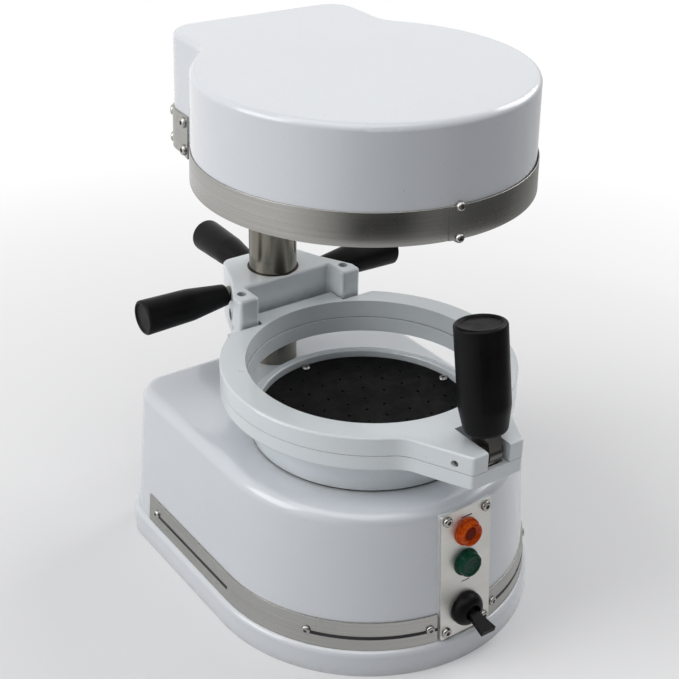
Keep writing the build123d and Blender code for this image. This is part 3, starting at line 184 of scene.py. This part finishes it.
def enamel(name, color, grime_and_shade, roughness, peel_scale, peel_depth, edge):
    """Baked enamel: clear gloss over a soft orange peel, with grime and painted shade in the corners
    and painted shadow along tight gaps.
    """
    m = Nodes(name)
    m.set(Coat_Weight=0.6, Coat_Roughness=0.06, Coat_IOR=1.5)
    cloud = m.noise(9.0, 4.0, 0.6)
    tone = m.ramp(cloud, [(0.3, tuple(0.965 * c for c in color)), (0.7, color)])
    # Grime and painted shade: darker in the corners that ambient occlusion finds, in patches.
    corner = m.span(m.crevices(0.007), 1.0, 0.0, 0.25, 0.95)
    patchy = m.noise(140.0, 3.0, 0.6)
    corner_grime_and_shade = m.add("ShaderNodeMath", operation="MULTIPLY")
    m.link(corner, corner_grime_and_shade.inputs[0])
    m.link(m.span(patchy, 0.25, 0.75, 0.3, 0.7), corner_grime_and_shade.inputs[1])
    grimed_and_shaded = m.mix(corner_grime_and_shade.outputs[0], tone, grime_and_shade)
    # Painted shadow: a dark line in tight gaps between parts, found by ambient occlusion.
    gap_shadow = m.span(m.crevices(0.0012), 0.85, 0.0, 0.1, 0.7)
    gap_shaded = m.mix(gap_shadow, grimed_and_shaded, tuple(0.15 * c for c in grime_and_shade))
    specks = m.noise(1400.0, 2.0, 0.5)
    speck = m.span(specks, 0.0, 0.35, 0.70, 0.76)
    speckled = m.mix(speck, gap_shaded, tuple(0.45 * c for c in grime_and_shade))
    rubbed = m.mix(m.edge_mask(0.0006, 0.90, 0.995), speckled, edge)
    gloss = m.span(m.noise(30.0, 5.0, 0.6), roughness * 0.8, roughness * 1.35, 0.3, 0.7)
    peel = m.noise(peel_scale, 2.0, 0.4)
    normal = m.bump(peel, 0.35, peel_depth, m.soft_edges(0.0004))
    return m.surface(rubbed, gloss, normal)


def brushed(name, color, dark, roughness, stretch, rotation=(0, 0, 0), aniso=0.6, radial=True):
    """Brushed or ground metal: fine scratches one way, soft smears the other."""
    m = Nodes(name)
    m.set(Metallic=1.0, Anisotropic=aniso)
    lines = m.noise(1.0, 1.5, 0.55, m.scaled(stretch, rotation))
    smear = m.noise(18.0, 3.0, 0.5)
    tone = m.ramp(lines, [(0.25, dark), (0.75, color)])
    soft = m.mix(m.span(smear, 0.0, 0.2, 0.35, 0.75), tone, tuple(0.85 * c for c in dark))
    finger = m.noise(40.0, 3.0, 0.5)
    gloss = m.span(finger, roughness * 0.92, roughness * 1.12, 0.3, 0.7)
    if radial:
        tangent = m.add("ShaderNodeTangent", direction_type="RADIAL", axis="Z")
        m.link(tangent.outputs["Tangent"], m.shader.inputs["Tangent"])
    normal = m.bump(lines, 0.08, 0.00003, m.soft_edges(0.0002))
    return m.surface(soft, gloss, normal)


def moulded(name, color, roughness, grain_scale, grain_depth, sheen=0.0):
    """Moulded plastic with a fine grain, a little polished where hands hold it."""
    m = Nodes(name)
    m.set(Specular_IOR_Level=0.10, Sheen_Weight=sheen)
    worn = m.noise(55.0, 4.0, 0.6)
    tone = m.ramp(worn, [(0.3, color), (0.75, tuple(min(1.0, 1.5 * c + 0.002) for c in color))])
    gloss = m.span(m.noise(120.0, 4.0, 0.6), roughness * 0.8, roughness * 1.25, 0.3, 0.7)
    grain = m.noise(grain_scale, 3.0, 0.6)
    edges = m.edge_mask(0.0005, 0.9, 0.995)
    light = m.mix(m.span(edges, 0.0, 0.5), tone, tuple(min(1.0, 2.2 * c + 0.01) for c in color))
    normal = m.bump(grain, 0.4, grain_depth, m.soft_edges(0.0003))
    return m.surface(light, gloss, normal)


def plated(name, color, roughness):
    """Zinc plated or plain metal of small fittings and sheet inside, darker in its crevices with grime
    and painted shade.
    """
    m = Nodes(name)
    m.set(Metallic=1.0)
    cloud = m.noise(300.0, 4.0, 0.6)
    tone = m.ramp(cloud, [(0.3, tuple(0.75 * c for c in color)), (0.7, color)])
    gloss = m.span(m.noise(800.0, 3.0, 0.6), roughness * 0.7, roughness * 1.4, 0.3, 0.7)
    # Grime and painted shade: nearly black in the small crevices, found by ambient occlusion.
    grime_and_shade = m.span(m.crevices(0.001), 0.8, 0.0, 0.2, 0.9)
    dark = m.mix(grime_and_shade, tone, (0.05, 0.05, 0.05))
    return m.surface(dark, gloss, m.bump(cloud, 0.2, 0.00004, m.soft_edges(0.00015)))


def galvanised(name, color, roughness):
    """Plain zinc sheet with its large soft crystals."""
    m = Nodes(name)
    m.set(Metallic=1.0)
    crystals = m.add("ShaderNodeTexVoronoi", feature="F1")
    crystals.inputs["Scale"].default_value = 160.0
    m.link(m.place, crystals.inputs["Vector"])
    tone = m.mix(0.35, color, crystals.outputs["Color"], "SOFT_LIGHT")
    bw = m.add("ShaderNodeRGBToBW")
    m.link(tone, bw.inputs[0])
    plain = m.ramp(bw.outputs[0], [(0.2, tuple(0.7 * c for c in color)), (0.8, color)])
    gloss = m.span(m.noise(90.0, 4.0), roughness * 0.8, roughness * 1.3, 0.3, 0.7)
    return m.surface(plain, gloss, m.bump(m.noise(600.0), 0.2, 0.00005))


def lens_plastic(name, color, deep):
    """Clear coloured plastic of a lamp lens."""
    m = Nodes(name)
    m.set(Transmission_Weight=0.1, Specular_IOR_Level=0.12, Coat_Weight=0.0, Coat_Roughness=0.03)
    tone = m.ramp(m.noise(700.0, 2.0), [(0.3, deep), (0.7, color)])
    gloss = m.span(m.noise(900.0, 3.0), 0.05, 0.14, 0.3, 0.7)
    return m.surface(tone, gloss, m.bump(m.noise(1200.0, 2.0), 0.15, 0.00005))


WHITE = (0.74, 0.77, 0.815)
# Grime colour of the enamel, also used for its painted shade in corners and gaps.
GRIME_AND_SHADE = (0.42, 0.41, 0.38)
CHIP = (0.80, 0.82, 0.84)

materials = {
    "enamel": enamel("gloss_enamel", WHITE, GRIME_AND_SHADE, 0.20, 420.0, 0.00012, CHIP),
    "enamel_cast": enamel(
        "cast_enamel", (0.78, 0.83, 0.86), (0.36, 0.38, 0.38), 0.34, 900.0, 0.00018, CHIP
    ),
    "stainless": brushed(
        "brushed_band", (0.43, 0.425, 0.405), (0.36, 0.355, 0.34), 0.27, (10.0, 10.0, 1500.0)
    ),
    "stainless_plate": brushed(
        "brushed_plate", (0.70, 0.69, 0.66), (0.65, 0.64, 0.61), 0.42, (14.0, 14.0, 1700.0),
        aniso=0.3, radial=False,
    ),
    "column_steel": brushed(
        "ground_steel", (0.25, 0.235, 0.20), (0.19, 0.18, 0.155), 0.22, (14.0, 14.0, 1800.0),
        aniso=0.25,
    ),
    "bright_steel": plated("plated_steel", (0.46, 0.45, 0.43), 0.2),
    "black_grip": moulded("black_phenolic", (0.004, 0.004, 0.004), 0.38, 2600.0, 0.00005),
    "black_plastic": moulded("black_moulding", (0.0035, 0.0035, 0.004), 0.34, 2200.0, 0.00004),
    "black_disc": moulded("black_coating", (0.0025, 0.0024, 0.0025), 0.60, 1500.0, 0.00012),
    "rubber": moulded("black_rubber", (0.02, 0.02, 0.02), 0.8, 900.0, 0.0001),
    "amber": lens_plastic("amber_plastic", (0.80, 0.12, 0.001), (0.50, 0.04, 0.001)),
    "green": lens_plastic("green_plastic", (0.001, 0.075, 0.042), (0.0005, 0.035, 0.02)),
    "bronze": plated("sintered_bronze", (0.07, 0.058, 0.045), 0.5),
    "zinc": galvanised("zinc_sheet", (0.60, 0.61, 0.62), 0.36),
    "ceramic": moulded("glazed_ceramic", (0.72, 0.69, 0.62), 0.3, 900.0, 0.00005),
    "heater": plated("heater_tube", (0.24, 0.20, 0.17), 0.5),
    "dark_steel": brushed(
        "dark_steel", (0.17, 0.165, 0.155), (0.12, 0.115, 0.11), 0.3, (14.0, 14.0, 1800.0),
        aniso=0.2, radial=False,
    ),
    # Dark red painted shade for the bottom of the amber lens's recess.
    "painted_lens_shade": moulded("painted_lens_shade", (0.16, 0.010, 0.001), 0.45, 1500.0, 0.00002),
    "mark": moulded("dark_stripe", (0.035, 0.035, 0.037), 0.45, 1500.0, 0.00002),
}

CAST_NODES = ("carriage", "upper_ring", "lower_ring", "vacuum_platform")
PLATE_NODES = ("control_panel",)
DARK_NODES = ("latch_lever",)


def paint_node(name, node):
    """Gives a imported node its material, by its slot or by its place."""
    slot_name = node.material_slots[0].name
    if name in CAST_NODES:
        slot_name = "enamel_cast"
    if name in PLATE_NODES:
        slot_name = "stainless_plate"
    if name in DARK_NODES:
        slot_name = "dark_steel"
    node.material_slots[0].material = materials[slot_name]


for name, node in nodes.items():
    paint_node(name, node)

# ---------------------------------------------------------------- mesh helpers


def rounded(points, radii, steps=5):
    """A polyline with its corners rounded, as a dense list of points."""
    path = [Vector(points[0])]
    for before, corner, after, radius in zip(points, points[1:], points[2:], radii):
        before, corner, after = Vector(before), Vector(corner), Vector(after)
        if radius == 0:
            path.append(corner)
            continue
        into = (before - corner).normalized()
        out = (after - corner).normalized()
        half = into.angle(out) / 2
        reach = radius / math.tan(half)
        middle = corner + (into + out).normalized() * radius / math.sin(half)
        start = corner + into * reach - middle
        end = corner + out * reach - middle
        first = math.atan2(start.y, start.x)
        sweep = (math.atan2(end.y, end.x) - first + math.pi) % (2 * math.pi) - math.pi
        for step in range(steps + 1):
            turn = first + sweep * step / steps
            path.append(middle + Vector((math.cos(turn), math.sin(turn))) * radius)
    path.append(Vector(points[-1]))
    return path


def lathe(bm, path, root, along, segments=64, shape=None):
    """Turns a path of (distance along the axis, radius), in mm, about an axis."""
    along = Vector(along).normalized()
    side = along.orthogonal().normalized()
    other = along.cross(side)
    rings = []
    for reach, radius in path:
        point = Vector(root) + along * reach * MM
        if radius < 1e-6:
            rings.append([bm.verts.new(point)])
            continue
        ring = []
        for index in range(segments):
            turn = 2 * math.pi * index / segments
            size = radius * MM * (shape(reach, radius, turn) if shape else 1.0)
            ring.append(bm.verts.new(point + (side * math.cos(turn) + other * math.sin(turn)) * size))
        rings.append(ring)
    for low, high in zip(rings, rings[1:]):
        count = max(len(low), len(high))
        if count == 1:
            continue
        for index in range(count):
            following = (index + 1) % count
            if len(low) == 1:
                bm.faces.new((low[0], high[following], high[index]))
            elif len(high) == 1:
                bm.faces.new((low[index], low[following], high[0]))
            else:
                bm.faces.new((low[index], low[following], high[following], high[index]))


def add_piece(name, bm, material, slot, body, *replaced, edge_turn=30):
    """Makes an object of a mesh, smooth but for its sharp edges, and puts it on its body."""
    bmesh.ops.recalc_face_normals(bm, faces=bm.faces)
    mesh = bpy.data.meshes.new(name)
    bm.to_mesh(mesh)
    bm.free()
    mesh.shade_smooth()
    mesh.set_sharp_from_angle(angle=math.radians(edge_turn))
    piece = bpy.data.objects.new(name, mesh)
    bpy.context.scene.collection.objects.link(piece)
    mesh.materials.append(materials[material])
    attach(piece, body)
    if replaced:
        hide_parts(*replaced)
    return piece


def node_mesh(name):
    """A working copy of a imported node's mesh, with the seams between its faces closed."""
    bm = bmesh.new()
    bm.from_mesh(nodes[name].data)
    bmesh.ops.remove_doubles(bm, verts=bm.verts, dist=0.000002)
    return bm


def islands(bm):
    """The groups of joined vertices of a mesh."""
    left = set(bm.verts)
    groups = []
    while left:
        stack = [left.pop()]
        group = []
        while stack:
            vertex = stack.pop()
            group.append(vertex)
            for edge in vertex.link_edges:
                other = edge.other_vert(vertex)
                if other in left:
                    left.remove(other)
                    stack.append(other)
        groups.append(group)
    return groups


def screw_places(name):
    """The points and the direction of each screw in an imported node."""
    bm = node_mesh(name)
    places = []
    for group in islands(bm):
        points = [v.co.copy() for v in group]
        middle = sum(points, Vector()) / len(points)
        far = max(points, key=lambda p: (p - middle).length)
        opposite = max(points, key=lambda p: (p - far).length)
        along = (opposite - far).normalized()
        for _ in range(12):
            spread = Matrix(((0,) * 3,) * 3)
            for p in points:
                ray = p - middle
                for row in range(3):
                    for column in range(3):
                        spread[row][column] += ray[row] * ray[column]
            along = (spread @ along).normalized()
        places.append((points, along))
    bm.free()
    return places


# ---------------------------------------------------------------- grips

def grip_path(length, root, shoulder, shoulder_radius, end_radius, rim):
    """Side of a moulded grip: a cone, an easy shoulder, then a dished end inside a rim."""
    return rounded(
        [
            (0, 0), (0, root), (shoulder, shoulder_radius), (length, end_radius),
            (length, end_radius - rim), (length - 0.9, end_radius - rim - 0.5), (length - 0.9, 0),
        ],
        [0.8, 30.0, 1.3, 0.4, 0.5],
        steps=8,
    )


def mould_line(reach, radius, turn):
    """A fine parting line down both sides of a moulding."""
    return 1.0 + (0.09 / radius if min(turn % math.pi, math.pi - turn % math.pi) < 0.02 else 0.0)


grip_z = centre("left_grip").z
for name, node, body, sign in (
    ("side_grip_left", "left_grip", "carriage", -1), ("side_grip_right", "right_grip", "carriage", 1)
):
    low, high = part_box(node)
    start = high.x if sign < 0 else low.x
    bm = bmesh.new()
    lathe(bm, grip_path(48, 5.6, 21, 8.4, 9.1, 1.6), (start, centre(node).y, grip_z), (sign, 0, 0),
          segments=96, shape=mould_line)
    add_piece(name, bm, "black_grip", "black_grip", body, node)

low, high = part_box("lock_grip")
bm = bmesh.new()
lathe(bm, grip_path(48, 5.6, 21, 8.4, 9.1, 1.6), (0, low.y, grip_z), (0, 1, 0), segments=96,
      shape=mould_line)
add_piece("rear_grip", bm, "black_grip", "black_grip", "lock", "lock_grip")

lean = math.radians(10.0)
handle_line = Vector((0, math.sin(lean), math.cos(lean)))
latch_joint = next(j for j in frame["joints"] if j["name"] == "latch_handle")
latch_pivot = Vector(latch_joint["pos_m"])
bm = bmesh.new()
lathe(
    bm,
    rounded(
        [
            (9.5, 0), (9.5, 9.75), (22.25, 11.9), (60.5, 11.95), (60.5, 9.9), (59.6, 9.3), (59.6, 0),
        ],
        [2.8, 24.0, 1.5, 0.4, 0.5],
        steps=8,
    ),
    latch_pivot, handle_line, segments=96, shape=mould_line,
)
add_piece("latch_handle_grip", bm, "black_grip", "black_grip", "latch", "latch_grip")

# ---------------------------------------------------------------- lamps


def lamp_seat(node, height):
    low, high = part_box(node)
    return (low + high) / 2 - facet_normal * height / 2 * MM


def facets(count, depth, start, end):
    """Prism ribs round a lens, between two distances along its axis."""
    def shape(reach, radius, turn):
        if start <= reach <= end:
            return 1.0 - depth * abs(math.sin(count * turn / 2))
        return 1.0
    return shape


seat = lamp_seat("amber_lens", 5.0)
bm = bmesh.new()
lathe(
    bm,
    rounded(
        [(0, 0), (0, 7.0), (1.5, 7.0), (1.5, 6.2), (4.6, 5.9), (4.9, 5.0), (3.4, 3.2), (3.4, 0)],
        [0.1, 0.5, 0.3, 0.4, 0.2, 0.2],
    ),
    seat, facet_normal, segments=96, shape=facets(24, 0.035, 1.6, 4.6),
)
add_piece("amber_cap", bm, "amber", "amber", "base", "amber_lens")
# A dark red disc at the bottom of the amber lens's recess: painted shade inside the lens.
bm = bmesh.new()
lathe(bm, rounded([(3.35, 0), (3.35, 3.2), (3.7, 2.8), (3.7, 0)], [0.02, 0.12]), seat, facet_normal,
      segments=48)
add_piece("amber_painted_shade", bm, "painted_lens_shade", "amber", "base")

seat = lamp_seat("green_lens", 5.0)
bm = bmesh.new()
lathe(
    bm,
    rounded(
        [(0, 0), (0, 7.0), (1.2, 7.0), (1.2, 6.3), (4.6, 6.0), (4.9, 5.0), (4.4, 4.4), (3.9, 0)],
        [0.1, 0.4, 0.3, 0.35, 0.2, 0.3],
    ),
    seat, facet_normal, segments=96, shape=facets(12, 0.03, 1.3, 5.0),
)
add_piece("green_cap", bm, "green", "green", "base", "green_lens")

# ---------------------------------------------------------------- screws


def hexagon(turn):
    part = (turn + math.pi / 6) % (math.pi / 3) - math.pi / 6
    return math.cos(math.pi / 6) / math.cos(part)


def screw_head(bm, seat, along, radius, height):
    """A low domed head with a washer-like skirt and a hexagon socket."""
    socket = 0.46 * radius

    def shape(reach, ring, turn):
        return hexagon(turn) if ring <= socket * 1.02 else 1.0

    dome = [
        (height * (0.28 + 0.72 * math.sin(math.radians(a))),
         socket * 1.25 + (radius - socket * 1.25) * math.cos(math.radians(a)))
        for a in range(0, 91, 15)
    ]
    path = [(0, radius)] + dome + [
        (height, socket), (height * 0.93, socket * 0.97), (height * 0.42, socket * 0.95),
        (height * 0.3, 0),
    ]
    lathe(bm, path, seat, along, segments=36, shape=shape)


def dress_screws(name, node, body, sink=0.02):
    """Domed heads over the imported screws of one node; their shanks stay inside the part."""
    bm = bmesh.new()
    for points, along in screw_places(node):
        reaches = [p.dot(along) for p in points]
        low, high = min(reaches), max(reaches)
        ends = []
        for end in (low, high):
            near = [p for p in points if abs(p.dot(along) - end) < 0.00002]
            spot = sum(near, Vector()) / len(near)
            ends.append(max((p - spot - along * (p - spot).dot(along)).length for p in near))
        if ends[0] > ends[1]:
            along = -along
            reaches = [-r for r in reaches]
            low, high = -high, -low
        top = [p for p in points if abs(p.dot(along) - high) < 0.00002]
        spot = sum(top, Vector()) / len(top)
        radius = max((p - spot - along * (p - spot).dot(along)).length for p in top)
        rims = sorted(
            {round(high - p.dot(along), 6) for p in points
             if (p - spot - along * (p - spot).dot(along)).length > radius * 0.98}
        )
        height = rims[-1]
        screw_head(bm, spot - along * (height + sink * MM), along, radius / MM, height / MM + sink)
        shank_radius = min(
            (p - spot - along * (p - spot).dot(along)).length for p in points
            if abs(p.dot(along) - low) < 0.00002
        ) / MM
        shank = [(0, 0), (0, shank_radius), ((high - low - height) / MM, shank_radius)]
        lathe(bm, shank, spot + along * (low - high), along, segments=16)
    add_piece(name, bm, "bright_steel", "bright_steel", body, node, edge_turn=40)


dress_screws("panel_screw_heads", "panel_screws", "base")
dress_screws("trim_screw_heads", "trim_screws", "base")
dress_screws("band_screw_heads", "band_screws", "head")
dress_screws("neck_screw_heads", "neck_screws", "head")
dress_screws("disc_screw_heads", "disc_screws", "base")
dress_screws("inlet_screw_heads", "inlet_screws", "base")

# ---------------------------------------------------------------- band round the head

HEAD_TURN = math.radians(-2.6)
COLUMN_PLACE = (0, 0.0865, 0)
BAND_LOW, BAND_HIGH = 220.0, 235.0
BAND_DRAFT = math.tan(math.radians(1.3))
SPRING_FROM = 17.0


def band_section(inner, outer, soft=0.14):
    """Offsets and heights round the strip's section, its four corners a little round."""
    points = []
    for out, high, first in ((1, 1, 0), (0, 1, 90), (0, 0, 180), (1, 0, 270)):
        for step in range(4):
            turn = math.radians(first + 30 * step)
            reach = (outer - soft if out else inner + soft) + soft * math.cos(turn)
            height = (BAND_HIGH - soft if high else BAND_LOW + soft) + soft * math.sin(turn)
            points.append((reach, height))
    return points


def band_strip(bm, first, last, inner, outer):
    """Bends a steel strip round the head, and lets its right end spring off a little."""
    count = max(2, int(abs(last - first) / 1.25))
    rings = []
    for index in range(count + 1):
        degrees = first + (last - first) * index / count
        turn = math.radians(degrees)
        spring = 2.4 * max(0.0, (degrees - SPRING_FROM) / 21.0) ** 2 if degrees < 60 else 0.0
        ring = []
        for reach, height in band_section(inner, outer):
            radius = 77.6 - (height - BAND_LOW) * BAND_DRAFT + reach + spring
            ring.append(bm.verts.new((
                math.cos(turn) * radius * MM, (4.0 + math.sin(turn) * radius) * MM, height * MM
            )))
        rings.append(ring)
    for low, high in zip(rings, rings[1:]):
        for index in range(len(low)):
            following = (index + 1) % len(low)
            bm.faces.new((low[index], low[following], high[following], high[index]))
    bm.faces.new(rings[0])
    bm.faces.new(list(reversed(rings[-1])))


bm = bmesh.new()
band_strip(bm, -218.2, -92.0, 0.05, 0.50)
band_strip(bm, -96.9, 38.2, 0.52, 0.95)
bmesh.ops.rotate(
    bm, cent=COLUMN_PLACE, matrix=Matrix.Rotation(HEAD_TURN, 3, "Z"), verts=bm.verts[:]
)
add_piece("band_strip", bm, "stainless", "stainless", "head", "head_band", edge_turn=50)

# ---------------------------------------------------------------- dark lines on the trims


def trim_line(name, node, low_z, high_z, keep):
    """A thin dark inlay that follows the outside of a trim, between two heights."""
    bm = node_mesh(node)
    for height in (low_z, high_z):
        bmesh.ops.bisect_plane(
            bm, geom=bm.verts[:] + bm.edges[:] + bm.faces[:], dist=0.0,
            plane_co=(0, 0, height * MM), plane_no=(0, 0, 1),
        )
    drop = []
    for face in bm.faces:
        spot = face.calc_center_median()
        level = low_z * MM < spot.z < high_z * MM
        outward = Vector((spot.x, min(spot.y, 0.0), 0)).normalized()
        faces_out = face.normal.dot(outward) > 0.9 and abs(face.normal.z) < 0.3
        if not (level and faces_out and keep(spot / MM)):
            drop.append(face)
    bmesh.ops.delete(bm, geom=drop, context="FACES")
    for face in bm.faces:
        face.smooth = True
    rim = bmesh.ops.extrude_face_region(bm, geom=bm.faces[:])
    for vertex in (g for g in rim["geom"] if isinstance(g, bmesh.types.BMVert)):
        outward = Vector((vertex.co.x, min(vertex.co.y, 0.0), 0)).normalized()
        vertex.co += outward * 0.00007
    add_piece(name, bm, "mark", "black_plastic", "base", edge_turn=35)


trim_line(
    "trim_line_side", "trim_strip_left", 20.2, 22.0,
    lambda p: p.x < -60 and 20.0 < p.y < 71.0,
)
trim_line(
    "trim_line_front", "trim_strip_left", 20.2, 22.0,
    lambda p: p.y < 0 and -54 < math.degrees(math.atan2(p.x, -p.y)) < -11.5,
)
trim_line(
    "trim_line_right", "trim_strip_right", 20.2, 22.0,
    lambda p: p.y < 0 and 14.5 < math.degrees(math.atan2(p.x, -p.y)) < 60,
)

# ---------------------------------------------------------------- plain marks on the panel


def panel_bar(bm, x, z, width, height, proud):
    """A flat bar on the panel, its middle at x and z, in mm."""
    low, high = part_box("control_panel")
    level = Vector((0, facet_normal.z, -facet_normal.y))
    base = centre("control_panel") + facet_normal * 0.6 * MM
    middle = base + level * (z - base.z / MM) / level.z * MM + Vector((x * MM, 0, 0))
    right = Vector((1, 0, 0))
    corners = []
    for lift in (-0.05, proud):
        for a, b in ((-1, -1), (1, -1), (1, 1), (-1, 1)):
            corners.append(bm.verts.new(
                middle + right * a * width / 2 * MM + level * b * height / 2 * MM
                + facet_normal * lift * MM
            ))
    for quad in ((4, 5, 6, 7), (3, 2, 1, 0), (0, 1, 5, 4), (1, 2, 6, 5), (2, 3, 7, 6), (3, 0, 4, 7)):
        bm.faces.new([corners[i] for i in quad])


bm = bmesh.new()
amber_z = centre("amber_lens").z / MM
green_z = centre("green_lens").z / MM
panel_bar(bm, 0.0, amber_z + 8.1, 6.4, 0.6, 0.03)
panel_bar(bm, 0.0, green_z - 10.5, 4.6, 0.5, 0.03)
add_piece("panel_dashes", bm, "mark", "black_plastic", "base")

# ---------------------------------------------------------------- studio


def stage_plane(name, size, place, material):
    bm = bmesh.new()
    bmesh.ops.create_grid(bm, x_segments=1, y_segments=1, size=size / 2)
    mesh = bpy.data.meshes.new(name)
    bm.to_mesh(mesh)
    bm.free()
    plane = bpy.data.objects.new(name, mesh)
    bpy.context.scene.collection.objects.link(plane)
    plane.location = place
    mesh.materials.append(material)
    return plane


def floor_material():
    """Pale floor: real near the object, so that it takes the shadow, and pure white far away."""
    m = Nodes("floor_white")
    m.set(Base_Color=(0.86, 0.86, 0.87, 1.0), Roughness=0.55)
    glow = m.add("ShaderNodeEmission")
    glow.inputs["Strength"].default_value = 1.0
    path = m.add("ShaderNodeLightPath")
    seen = m.add("ShaderNodeMath", operation="ADD", use_clamp=True)
    m.link(path.outputs["Is Camera Ray"], seen.inputs[0])
    m.link(path.outputs["Is Glossy Ray"], seen.inputs[1])
    through = m.add("ShaderNodeMath", operation="ADD", use_clamp=True)
    m.link(seen.outputs[0], through.inputs[0])
    m.link(path.outputs["Is Transmission Ray"], through.inputs[1])
    length = m.add("ShaderNodeVectorMath", operation="LENGTH")
    m.link(m.place, length.inputs[0])
    far = m.span(length.outputs["Value"], 0.0, 1.0, 0.16, 0.6)
    diffuse = m.span(path.outputs["Is Diffuse Ray"], 0.0, 1.0)
    m.surface(m.mix(diffuse, (0.86, 0.86, 0.87), (0.50, 0.505, 0.52)))
    share = m.add("ShaderNodeMath", operation="MULTIPLY")
    m.link(far, share.inputs[0])
    m.link(through.outputs[0], share.inputs[1])
    mix = m.add("ShaderNodeMixShader")
    m.link(share.outputs[0], mix.inputs[0])
    m.link(m.shader.outputs[0], mix.inputs[1])
    m.link(glow.outputs[0], mix.inputs[2])
    m.link(mix.outputs[0], m.tree.nodes["Material Output"].inputs["Surface"])
    return m.material


def world_light(strength):
    """White to the eye and in reflections, softer as a light."""
    world = bpy.data.worlds.new("studio")
    world.use_nodes = True
    bpy.context.scene.world = world
    tree = world.node_tree
    background = tree.nodes["Background"]
    background.inputs["Color"].default_value = (1.0, 1.0, 1.0, 1.0)
    path = tree.nodes.new("ShaderNodeLightPath")
    first = tree.nodes.new("ShaderNodeMath")
    first.operation = "ADD"
    second = tree.nodes.new("ShaderNodeMath")
    second.operation = "ADD"
    second.use_clamp = True
    tree.links.new(path.outputs["Is Camera Ray"], first.inputs[0])
    tree.links.new(path.outputs["Is Glossy Ray"], first.inputs[1])
    tree.links.new(first.outputs[0], second.inputs[0])
    tree.links.new(path.outputs["Is Transmission Ray"], second.inputs[1])
    level = tree.nodes.new("ShaderNodeMapRange")
    level.inputs["To Min"].default_value = strength
    level.inputs["To Max"].default_value = 1.0
    tree.links.new(second.outputs[0], level.inputs["Value"])
    tree.links.new(level.outputs["Result"], background.inputs["Strength"])


def lamp(name, place, size, power, target=(0, 0, 0.13)):
    data = bpy.data.lights.new(name, "AREA")
    data.shape = "RECTANGLE"
    data.size, data.size_y = size
    data.energy = power
    light = bpy.data.objects.new(name, data)
    bpy.context.scene.collection.objects.link(light)
    light.location = place
    light.rotation_euler = (Vector(target) - Vector(place)).to_track_quat("-Z", "Y").to_euler()
    return light


CARD_TONES = [
    (-172, 1.0), (-160, 0.75), (-146, 0.50), (-130, 0.04), (-102, 0.04), (-88, 0.28), (-76, 0.18),
    (-64, 0.10), (-34, 0.10), (-16, 0.25), (6, 0.42), (34, 0.65), (52, 1.0),
]


def reflection_card():
    """A round screen in front of the object, dark and light by turns: only reflections meet it."""
    m = Nodes("front_screen")
    m.set(Base_Color=(0.0, 0.0, 0.0, 1.0), Roughness=1.0, Specular_IOR_Level=0.0)
    parts = m.add("ShaderNodeSeparateXYZ")
    m.link(m.place, parts.inputs[0])
    angle = m.add("ShaderNodeMath", operation="ARCTAN2")
    m.link(parts.outputs["Y"], angle.inputs[0])
    m.link(parts.outputs["X"], angle.inputs[1])
    first, last = CARD_TONES[0][0], CARD_TONES[-1][0]
    along = m.span(angle.outputs[0], 0.0, 1.0, math.radians(first), math.radians(last))
    stops = [((turn - first) / (last - first), (tone, tone, tone * 0.98)) for turn, tone in CARD_TONES]
    tones = m.ramp(along, stops, "EASE")
    top = m.span(parts.outputs["Z"], 0.0, 1.0, 0.27, 0.36)
    m.link(m.mix(top, tones, (1.0, 1.0, 1.0)), m.shader.inputs["Emission Color"])
    m.set(Emission_Strength=1.0)
    bm = bmesh.new()
    columns = []
    for step in range(51):
        turn = math.radians(first + (last - first) * step / 50)
        columns.append([
            bm.verts.new((0.40 * math.cos(turn), 0.40 * math.sin(turn), height))
            for height in (0.002, 0.36)
        ])
    for left, right in zip(columns, columns[1:]):
        bm.faces.new((left[0], right[0], right[1], left[1]))
    mesh = bpy.data.meshes.new("front_screen")
    bm.to_mesh(mesh)
    bm.free()
    card = bpy.data.objects.new("front_screen", mesh)
    bpy.context.scene.collection.objects.link(card)
    mesh.materials.append(m.material)
    card.visible_camera = False
    card.visible_diffuse = False
    card.visible_shadow = False
    card.visible_transmission = False


def camera():
    """The photograph's view, found from the object's own edges."""
    data = bpy.data.cameras.new("view")
    data.sensor_width = 36.0
    data.lens = 69.69
    data.shift_x = -0.0033
    data.shift_y = -0.0009
    data.clip_start = 0.01
    eye = bpy.data.objects.new("view", data)
    bpy.context.scene.collection.objects.link(eye)
    eye.location = (-0.33578, -0.44370, 0.44154)
    eye.rotation_euler = (math.radians(61.2009), math.radians(-1.0582), math.radians(-35.1557))
    bpy.context.scene.camera = eye


stage_plane("floor", 12.0, (0, 0, 0), floor_material())
world_light(0.2)
lamp("top_light", (-0.3, -0.15, 1.2), (1.1, 1.1), 5.5)
lamp("left_light", (-1.1, 0.3, 0.75), (0.8, 0.8), 7.0)
lamp("right_light", (1.1, 0.05, 0.75), (0.8, 0.8), 6.8)
reflection_card()
camera()
bpy.context.scene.view_settings.view_transform = "Standard"
